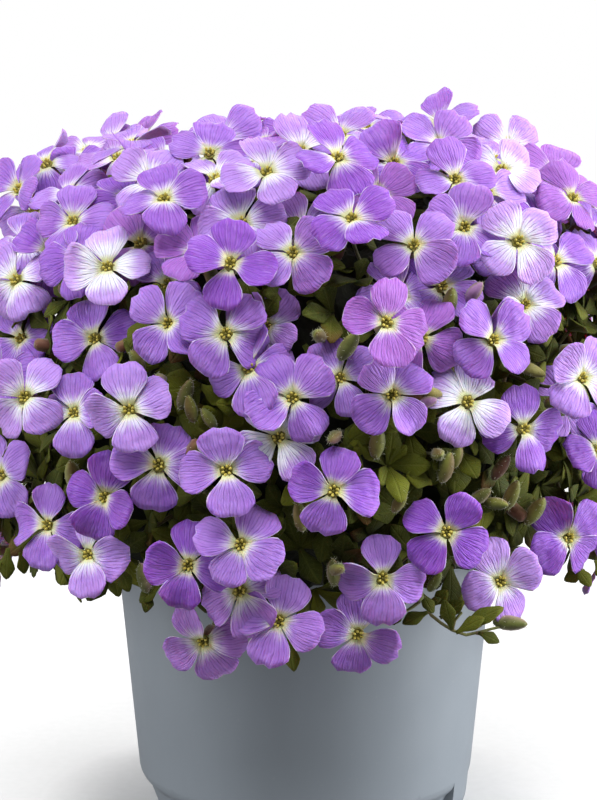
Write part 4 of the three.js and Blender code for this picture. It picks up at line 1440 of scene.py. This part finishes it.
def calyx_shape():
    """The calyx under a bloom: four sepals pressed together, hairy."""
    return hairy(shape_of(turned(CALYX, 8, [MATERIALS["calyx"]], 0.1)), 14, 0.7, SEED + 7)


def petal_matrix(bloom, number, draw):
    """Where a petal stands on its bloom, with a tilt and a roll of its own."""
    angle, lift, length = bloom.petals[number]
    tilt = atan(lift) + (draw() - 0.5) * PETAL_TILT_SPREAD
    roll = (draw() - 0.5) * PETAL_ROLL_SPREAD
    angle += (draw() - 0.5) * PETAL_SWING_SPREAD
    out = bloom.u * cos(angle) + bloom.v * sin(angle)
    x = out * cos(tilt) + bloom.w * sin(tilt)
    side = np.cross(bloom.w, out)
    y = side * cos(roll) + np.cross(x, side) * sin(roll)
    at = bloom.world([0, 0, PETAL_STACK if number % 2 else -PETAL_STACK])
    matrix = frame_matrix(at, x, y, np.cross(x, y), length / PETAL_LENGTH * bloom.size * BLOOM_GROWTH)
    matrix[:3, 1] *= PETAL_NARROWEST + PETAL_WIDTH_SPREAD * draw()
    return matrix


class AUBRIETA_OT_blooms(Undoable, bpy.types.Operator):
    """Models the petals, the eyes and the calyces, and stands them on the mound"""

    bl_idname = "aubrieta.blooms"
    bl_label = "Blooms"

    def execute(self, context):
        plan = PLAN[0]
        half_width = context.scene.aubrieta_bloom.petal_width / MM / 2
        petals = [petal_shape(i, half_width) for i in range(PETAL_VARIANTS)]
        eyes = [eye_shape(SEED + THROAT_SEED + i) for i in range(3)]
        calyx = calyx_shape()
        draw = dice(SEED + 1)
        blooms = spray_pieces("blooms")
        calyces = spray_pieces("calyces")
        for number, bloom in enumerate(plan.blooms):
            spray = plan.spray_of(bloom.shoot)
            tone, rosy, white = TONES[bloom.tone]
            tone += (draw() - 0.5) * BLOOM_TONE_SPREAD
            white += (draw() - 0.5) * WHITE_SPREAD
            for i in range(4):
                matrix = petal_matrix(bloom, i, draw)
                petal = petals[int(draw() * PETAL_VARIANTS)]
                own_tone = tone + (draw() - 0.5) * PETAL_TONE_SPREAD
                blooms[spray].add(petal, matrix, own_tone, rosy, white)
            head = frame_matrix(bloom.at, bloom.u, bloom.v, bloom.w, bloom.size)
            blooms[spray].add(eyes[number % 3], head)
            calyces[spray].add(calyx, head, draw())
        for spray in range(SPRAY_COUNT):
            blooms[spray].make("bloom", plan.nodes_of(spray))
            calyces[spray].make("foliage", plan.nodes_of(spray))
        return {"FINISHED"}


# Stems and stalks


def stalk_line(start, way, foot):
    """A curve from under a head to its foot on the stem, and its radii."""
    reach = np.linalg.norm(foot - start)
    bend = start - way * reach * 0.3
    t = np.linspace(0, 1, STALK_POINTS)[:, None]
    points = start * (1 - t) ** 2 + 2 * bend * t * (1 - t) + foot * t * t
    return points, np.linspace(*STALK_RADII, STALK_POINTS)


def tubes(lines, finish, roundness=1):
    """Round stems along lines of points and radii, all as one mesh with closed ends."""
    curve = bpy.data.curves.new(finish, "CURVE")
    curve.dimensions = "3D"
    curve.bevel_depth = 1
    curve.bevel_resolution = roundness
    curve.use_fill_caps = True
    for points, radii in lines:
        spline = curve.splines.new("POLY")
        spline.points.add(len(points) - 1)
        flat = np.concatenate([points, np.ones((len(points), 1))], axis=1)
        spline.points.foreach_set("co", flat.ravel())
        spline.points.foreach_set("radius", radii)
    obj = bpy.data.objects.new(finish, curve)
    bpy.context.scene.collection.objects.link(obj)
    deselect()
    obj.select_set(True)
    bpy.context.view_layer.objects.active = obj
    bpy.ops.object.convert(target="MESH")
    obj = bpy.context.object
    if not obj.data.uv_layers:
        obj.data.uv_layers.new(name="UVMap")
    obj.data.materials.clear()
    obj.data.materials.append(MATERIALS[finish])
    return shape_of(obj)


class AUBRIETA_OT_stems(Undoable, bpy.types.Operator):
    """Models the stems and the stalks that carry every head"""

    bl_idname = "aubrieta.stems"
    bl_label = "Stems"

    def execute(self, context):
        plan = PLAN[0]
        shares = np.linspace(0, 1, STEM_POINTS)
        heads = []
        for bloom in plan.blooms:
            heads.append((bloom.world([0, 0, -CALYX_LENGTH * bloom.size]), bloom.w, bloom.shoot, bloom.foot))
        for _, at, way, shoot, foot in plan.buds:
            heads.append((at - way * BUD_STALK_TOP, way, shoot, foot))
        for spray, piece in enumerate(spray_pieces("stems")):
            stems = []
            for k in range(SHOOT_COUNT):
                if plan.spray_of(k) == spray:
                    points = np.array([along_curve(plan.stems[k], t) for t in shares])
                    stems.append((points, STEM_RADIUS * (1.05 - 0.45 * shares)))
            stalks = []
            for start, way, shoot, foot in heads:
                if plan.spray_of(shoot) == spray:
                    stalks.append(stalk_line(start, way, foot))
            piece.add(tubes(stems, "stem", 2), np.eye(4))
            piece.add(tubes(stalks, "stalk"), np.eye(4))
            piece.make("foliage", plan.nodes_of(spray))
        return {"FINISHED"}


# Buds


def bud_shape(seed, slimness, finish):
    """A closed bud: hairy sepals, or the rolled petals' tips coming out of them."""
    profile = [(r * slimness, z) for r, z in BUD]
    return hairy(shape_of(turned(profile, 8, [MATERIALS[finish]], 0.07)), 44, 0.9, SEED + seed)


def picture_way(angle):
    """A direction that runs across the picture at an angle, leaning out a little to the viewer."""
    up = np.array([0.0, sin(EYE_TILT), cos(EYE_TILT)])
    turn = radians(angle)
    return unit(np.array([cos(turn), 0.0, 0.0]) + up * sin(turn) + np.array([0.0, -BUD_LEAN, 0.0]))


def under_surface(x, y):
    """The point a little under the mound's surface that a pixel shows."""
    at = sight_on_mound(x, y)
    return at - mound_normal(at) * SIDE_DEPTH


class AUBRIETA_OT_buds(Undoable, bpy.types.Operator):
    """Models the buds and side-on calyces, and stands them between the blooms"""

    bl_idname = "aubrieta.buds"
    bl_label = "Buds"

    def execute(self, context):
        plan = PLAN[0]
        kinds = {kind: bud_shape(*values) for kind, values in BUD_KINDS.items()}
        calyx = calyx_shape()
        draw = dice(SEED + 2)
        pieces = spray_pieces("buds")
        for kind, at, way, shoot, _ in plan.buds:
            pieces[plan.spray_of(shoot)].add(kinds[kind], standing(at, way, draw() * 6), draw())
        for x, y, angle, kind in MORE_BUDS:
            at = under_surface(x, y)
            size = 0.85 + 0.4 * draw()
            matrix = standing(at, picture_way(angle), draw() * 6, size)
            pieces[plan.spray_at(at)].add(kinds[kind], matrix, draw())
        for x, y, angle in SIDE_CALYCES:
            at = under_surface(x, y)
            pieces[plan.spray_at(at)].add(calyx, standing(at, picture_way(angle), draw() * 6, 1.1), draw())
        for spray, piece in enumerate(pieces):
            if piece.shapes:
                piece.make("foliage", plan.nodes_of(spray))
        return {"FINISHED"}


# Leaves


def leaf_shape(variant, length):
    """One leaf, its stalk at the origin, widest near its blunt, rounded tip."""
    draw = dice(SEED + 200 + variant)
    shares, halves = zip(*LEAF_OUTLINE)
    arch = 0.004 + 0.022 * draw()
    fold = 0.15 + 0.3 * draw()
    twist = (draw() - 0.5) * 0.08
    bent = (draw() - 0.5) * 0.02
    wide = 0.9 + 0.25 * draw()

    def place(along, across):
        s = length * along
        half = length * np.interp(along, shares, halves) * wide
        y = half * across + bent * s * s
        z = -arch * s * s + fold * abs(across) * half * 0.8 + twist * s * across
        return Vector((s - 0.55 * abs(across) * half * along**2, y, z)), (along, across / 2 + 0.5)

    return shape_of(blade(LEAF_COLUMNS, LEAF_ROWS, place, LEAF_THICKNESS, [MATERIALS["leaf"]]))


def tuft_spots(count, depth, draw):
    """Places spread evenly under the mound's surface, with the way out at each."""
    spots = []
    for i in range(count):
        at = mound_spot(1 - TUFT_LOWEST * (i + 0.5) / count, i * GOLDEN_TURN)
        normal = mound_normal(at)
        spots.append((at - normal * depth * (0.75 + 0.6 * draw()), normal))
    return spots


class AUBRIETA_OT_leaves(Undoable, bpy.types.Operator):
    """Models the leaves and sets them in tufts under the blooms"""

    bl_idname = "aubrieta.leaves"
    bl_label = "Leaves"

    def execute(self, context):
        plan = PLAN[0]
        settings = context.scene.aubrieta_leaf
        length = settings.length / MM
        shapes = [leaf_shape(i, length) for i in range(LEAF_VARIANTS)]
        draw = dice(SEED + 3)
        pieces = spray_pieces("leaves")
        spots = tuft_spots(settings.tufts, TUFT_DEPTH, draw)
        spots += tuft_spots(settings.inner_tufts, INNER_TUFT_DEPTH, draw)
        for at, normal in spots:
            way = unit(normal + np.array([draw() - 0.5, draw() - 0.5, draw() - 0.3]) * 0.7)
            first = draw() * 6
            age = draw()
            piece = pieces[plan.spray_at(at)]
            for i in range(TUFT_LEAVES):
                base = standing(at, way, first + i * GOLDEN_TURN)
                self.leaf(plan, piece, shapes, length, base, age, draw)
        for spray, piece in enumerate(pieces):
            piece.make("foliage", plan.nodes_of(spray))
        return {"FINISHED"}

    def leaf(self, plan, piece, shapes, length, base, age, draw):
        """Adds one leaf, unless it would lie in a bloom."""
        lift = 0.25 + 0.75 * draw()
        size = 0.75 + 0.5 * draw()
        shape = shapes[int(draw() * LEAF_VARIANTS)]
        x = unit(base[:3, 0] + base[:3, 2] * lift)
        y = base[:3, 1]
        matrix = frame_matrix(base[:3, 3], x, y, np.cross(x, y), size)
        reach = base[:3, 3] + (np.outer(LEAF_PROBES[:, 0], x) + np.outer(LEAF_PROBES[:, 1], y)) * length * size
        if not plan.blocked(reach, LEAF_GAP).any():
            tone = 0.12 + 0.75 * age * draw()
            piece.add(shape, matrix, tone, 0.5 if draw() > 0.93 else 0.0)


# Trailing shoot


class AUBRIETA_OT_trail(Undoable, bpy.types.Operator):
    """Models the trailing shoot at the lower right and the leaves that hang over the pot"""

    bl_idname = "aubrieta.trail"
    bl_label = "Trailing shoot"

    def execute(self, context):
        draw = dice(SEED + 6)
        length = context.scene.aubrieta_leaf.length / MM
        leaves = [leaf_shape(i, length) for i in range(LEAF_VARIANTS)]
        piece = Piece("trailing_shoot")
        lines = []
        for pixels in TRAIL_STEMS:
            points = np.array([picture_point(x, y, TRAIL_PLANE) for x, y in pixels])
            lines.append((points, np.linspace(TRAIL_RADIUS, TRAIL_RADIUS * 0.7, len(points))))
        piece.add(tubes(lines, "stem"), np.eye(4))
        for x, y, angle, kind, size in TRAIL_BUDS:
            bud = bud_shape(TRAIL_BUD_SEED, 0.9, BUD_KINDS[kind][2])
            piece.add(bud, standing(picture_point(x, y, TRAIL_PLANE), picture_way(angle), 0.0, size))
        for i, (x0, y0, x1, y1, plane) in enumerate(HANGING_LEAVES):
            foot = picture_point(x0, y0, plane)
            span = picture_point(x1, y1, plane - 4 * draw()) - foot
            x = unit(span)
            z = unit(np.array([draw() - 0.5, -1.0, 0.4 + 0.5 * draw()]))
            y = unit(np.cross(z, x))
            reach = np.linalg.norm(span)
            matrix = frame_matrix(foot, x, y, np.cross(x, y), reach / length)
            matrix[:3, 1] *= min(1.0, HANGING_LEAF_WIDEST / reach)
            piece.add(leaves[i % LEAF_VARIANTS], matrix, 0.1 + 0.35 * draw())
        piece.make("foliage")
        return {"FINISHED"}


# Inner growth, coloured near-black as painted shade


class AUBRIETA_OT_core(Undoable, bpy.types.Operator):
    """Models the dense growth in the heart of the mound, which the leaves stand out of, coloured near-black as
    painted shade
    """

    bl_idname = "aubrieta.core"
    bl_label = "Inner growth"

    def execute(self, context):
        deselect()
        bpy.ops.mesh.primitive_ico_sphere_add(subdivisions=6, radius=HALFWAY)
        obj = bpy.context.object
        obj.name = obj.data.name = "inner_growth"
        for vertex in obj.data.vertices:
            surface = on_mound(np.array(vertex.co) + MOUND_HEART)
            at = Vector(MOUND_HEART + (surface - MOUND_HEART) * CORE_SHARE)
            way = Vector(mound_normal(surface))
            swell = noise.noise(at / CORE_GRAIN) + 0.6 * abs(noise.noise(at * 2.2 / CORE_GRAIN))
            vertex.co = at + way * CORE_ROUGH * swell
        # Its near-black finish is painted shade for the depths of the mound.
        obj.data.materials.append(MATERIALS["growth_painted_shade"])
        to_metres(obj)
        keep(obj)
        return {"FINISHED"}


# Stage


def area_light(name, place, aim, size, power):
    deselect()
    bpy.ops.object.light_add(type="AREA", location=place)
    lamp = bpy.context.object
    lamp.name = name
    lamp.rotation_euler = (Vector(aim) - Vector(place)).to_track_quat("-Z", "Y").to_euler()
    lamp.data.shape = "RECTANGLE"
    lamp.data.size, lamp.data.size_y = size
    lamp.data.energy = power


class AUBRIETA_OT_stage(Undoable, bpy.types.Operator):
    """Sets the floor, the studio light and the camera"""

    bl_idname = "aubrieta.stage"
    bl_label = "Stage"

    def execute(self, context):
        settings = context.scene.aubrieta_stage
        self.floor(settings)
        self.lights(context.scene, settings.light)
        deselect()
        bpy.ops.object.camera_add(location=Vector(EYE) * MM, rotation=(pi / 2 - EYE_TILT, 0, 0))
        camera = bpy.context.object
        camera.name = "photo_camera"
        camera.data.sensor_fit = "VERTICAL"
        camera.data.sensor_height = LENS_SENSOR
        camera.data.lens = FOCAL / PICTURE_HEIGHT * LENS_SENSOR
        camera.data.clip_start = 0.01
        context.scene.camera = camera
        return {"FINISHED"}

    def floor(self, settings):
        deselect()
        bpy.ops.mesh.primitive_plane_add(size=8, location=(0, 0, 0))
        obj = bpy.context.object
        obj.name = "floor"
        material, w, sockets = new_material("paper_sweep", Roughness=0.9)
        seen = w.value("LightPath", "Is Camera Ray")
        fibres = w.step(w.noise(w.own_place(), 300.0, 3.0), 0.3, 0.7, 0.97, 1.0)
        paper = w.blend(1.0, rgba(settings.floor), fibres, "MULTIPLY")
        reach = w.value("VectorMath", "Value", {0: w.own_place()}, operation="LENGTH")
        near = w.step(reach, *FLOOR_NEAR, 1.0, 0.0)
        far = w.step(reach, *FLOOR_FADE, FLOOR_COVER, 0.0)
        w.feed(sockets["Alpha"], w.math("MAXIMUM", near, far))
        w.feed(sockets["Base Color"], w.blend(seen, rgba(FLOOR_BOUNCE), paper))
        obj.data.materials.append(material)

    def lights(self, scene, strength):
        for name, place, aim, size, power in LAMPS:
            area_light(name, place, aim, size, power * strength)
        world = bpy.data.worlds.new("soft_room")
        world.use_nodes = True
        w = Wiring(world.node_tree)
        sky = world.node_tree.nodes["Background"].inputs
        sky["Color"].default_value = (1.0, 1.0, 1.0, 1.0)
        seen = w.value("LightPath", "Is Camera Ray")
        w.feed(sky["Strength"], w.math("MULTIPLY_ADD", seen, 1.0 - ROOM_LIGHT, ROOM_LIGHT))
        scene.world = world
        scene.view_settings.view_transform = "Standard"


class AUBRIETA_PT_panel(bpy.types.Panel):
    """Lists the steps that build the potted aubrieta"""

    bl_label = "Potted aubrieta"
    bl_idname = "AUBRIETA_PT_panel"
    bl_space_type = "VIEW_3D"
    bl_region_type = "UI"
    bl_category = "Aubrieta"

    def draw(self, context):
        for operator in OPERATORS:
            self.layout.operator(operator.bl_idname)
        for name, _ in SETTINGS:
            settings = getattr(context.scene, name)
            for setting in settings.__annotations__:
                self.layout.prop(settings, setting)


OPERATORS = (
    AUBRIETA_OT_pot,
    AUBRIETA_OT_soil,
    AUBRIETA_OT_blooms,
    AUBRIETA_OT_stems,
    AUBRIETA_OT_buds,
    AUBRIETA_OT_leaves,
    AUBRIETA_OT_trail,
    AUBRIETA_OT_core,
    AUBRIETA_OT_stage,
)
SETTINGS = (
    ("aubrieta_pot", PotSettings),
    ("aubrieta_bloom", BloomSettings),
    ("aubrieta_leaf", LeafSettings),
    ("aubrieta_stage", StageSettings),
)


def register():
    for name, group in SETTINGS:
        bpy.utils.register_class(group)
        setattr(bpy.types.Scene, name, PointerProperty(type=group))
    for operator in OPERATORS:
        bpy.utils.register_class(operator)
    bpy.utils.register_class(AUBRIETA_PT_panel)


def unregister():
    bpy.utils.unregister_class(AUBRIETA_PT_panel)
    for operator in reversed(OPERATORS):
        bpy.utils.unregister_class(operator)
    for name, group in SETTINGS:
        delattr(bpy.types.Scene, name)
        bpy.utils.unregister_class(group)


def main():
    register()
    make_materials(bpy.context.scene)
    PLAN.append(Plan())
    bpy.ops.aubrieta.pot()
    bpy.ops.aubrieta.soil()
    bpy.ops.aubrieta.blooms()
    bpy.ops.aubrieta.stems()
    bpy.ops.aubrieta.buds()
    bpy.ops.aubrieta.leaves()
    bpy.ops.aubrieta.trail()
    bpy.ops.aubrieta.core()
    bpy.ops.aubrieta.stage()
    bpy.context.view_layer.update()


if __name__ == "__main__":
    main()
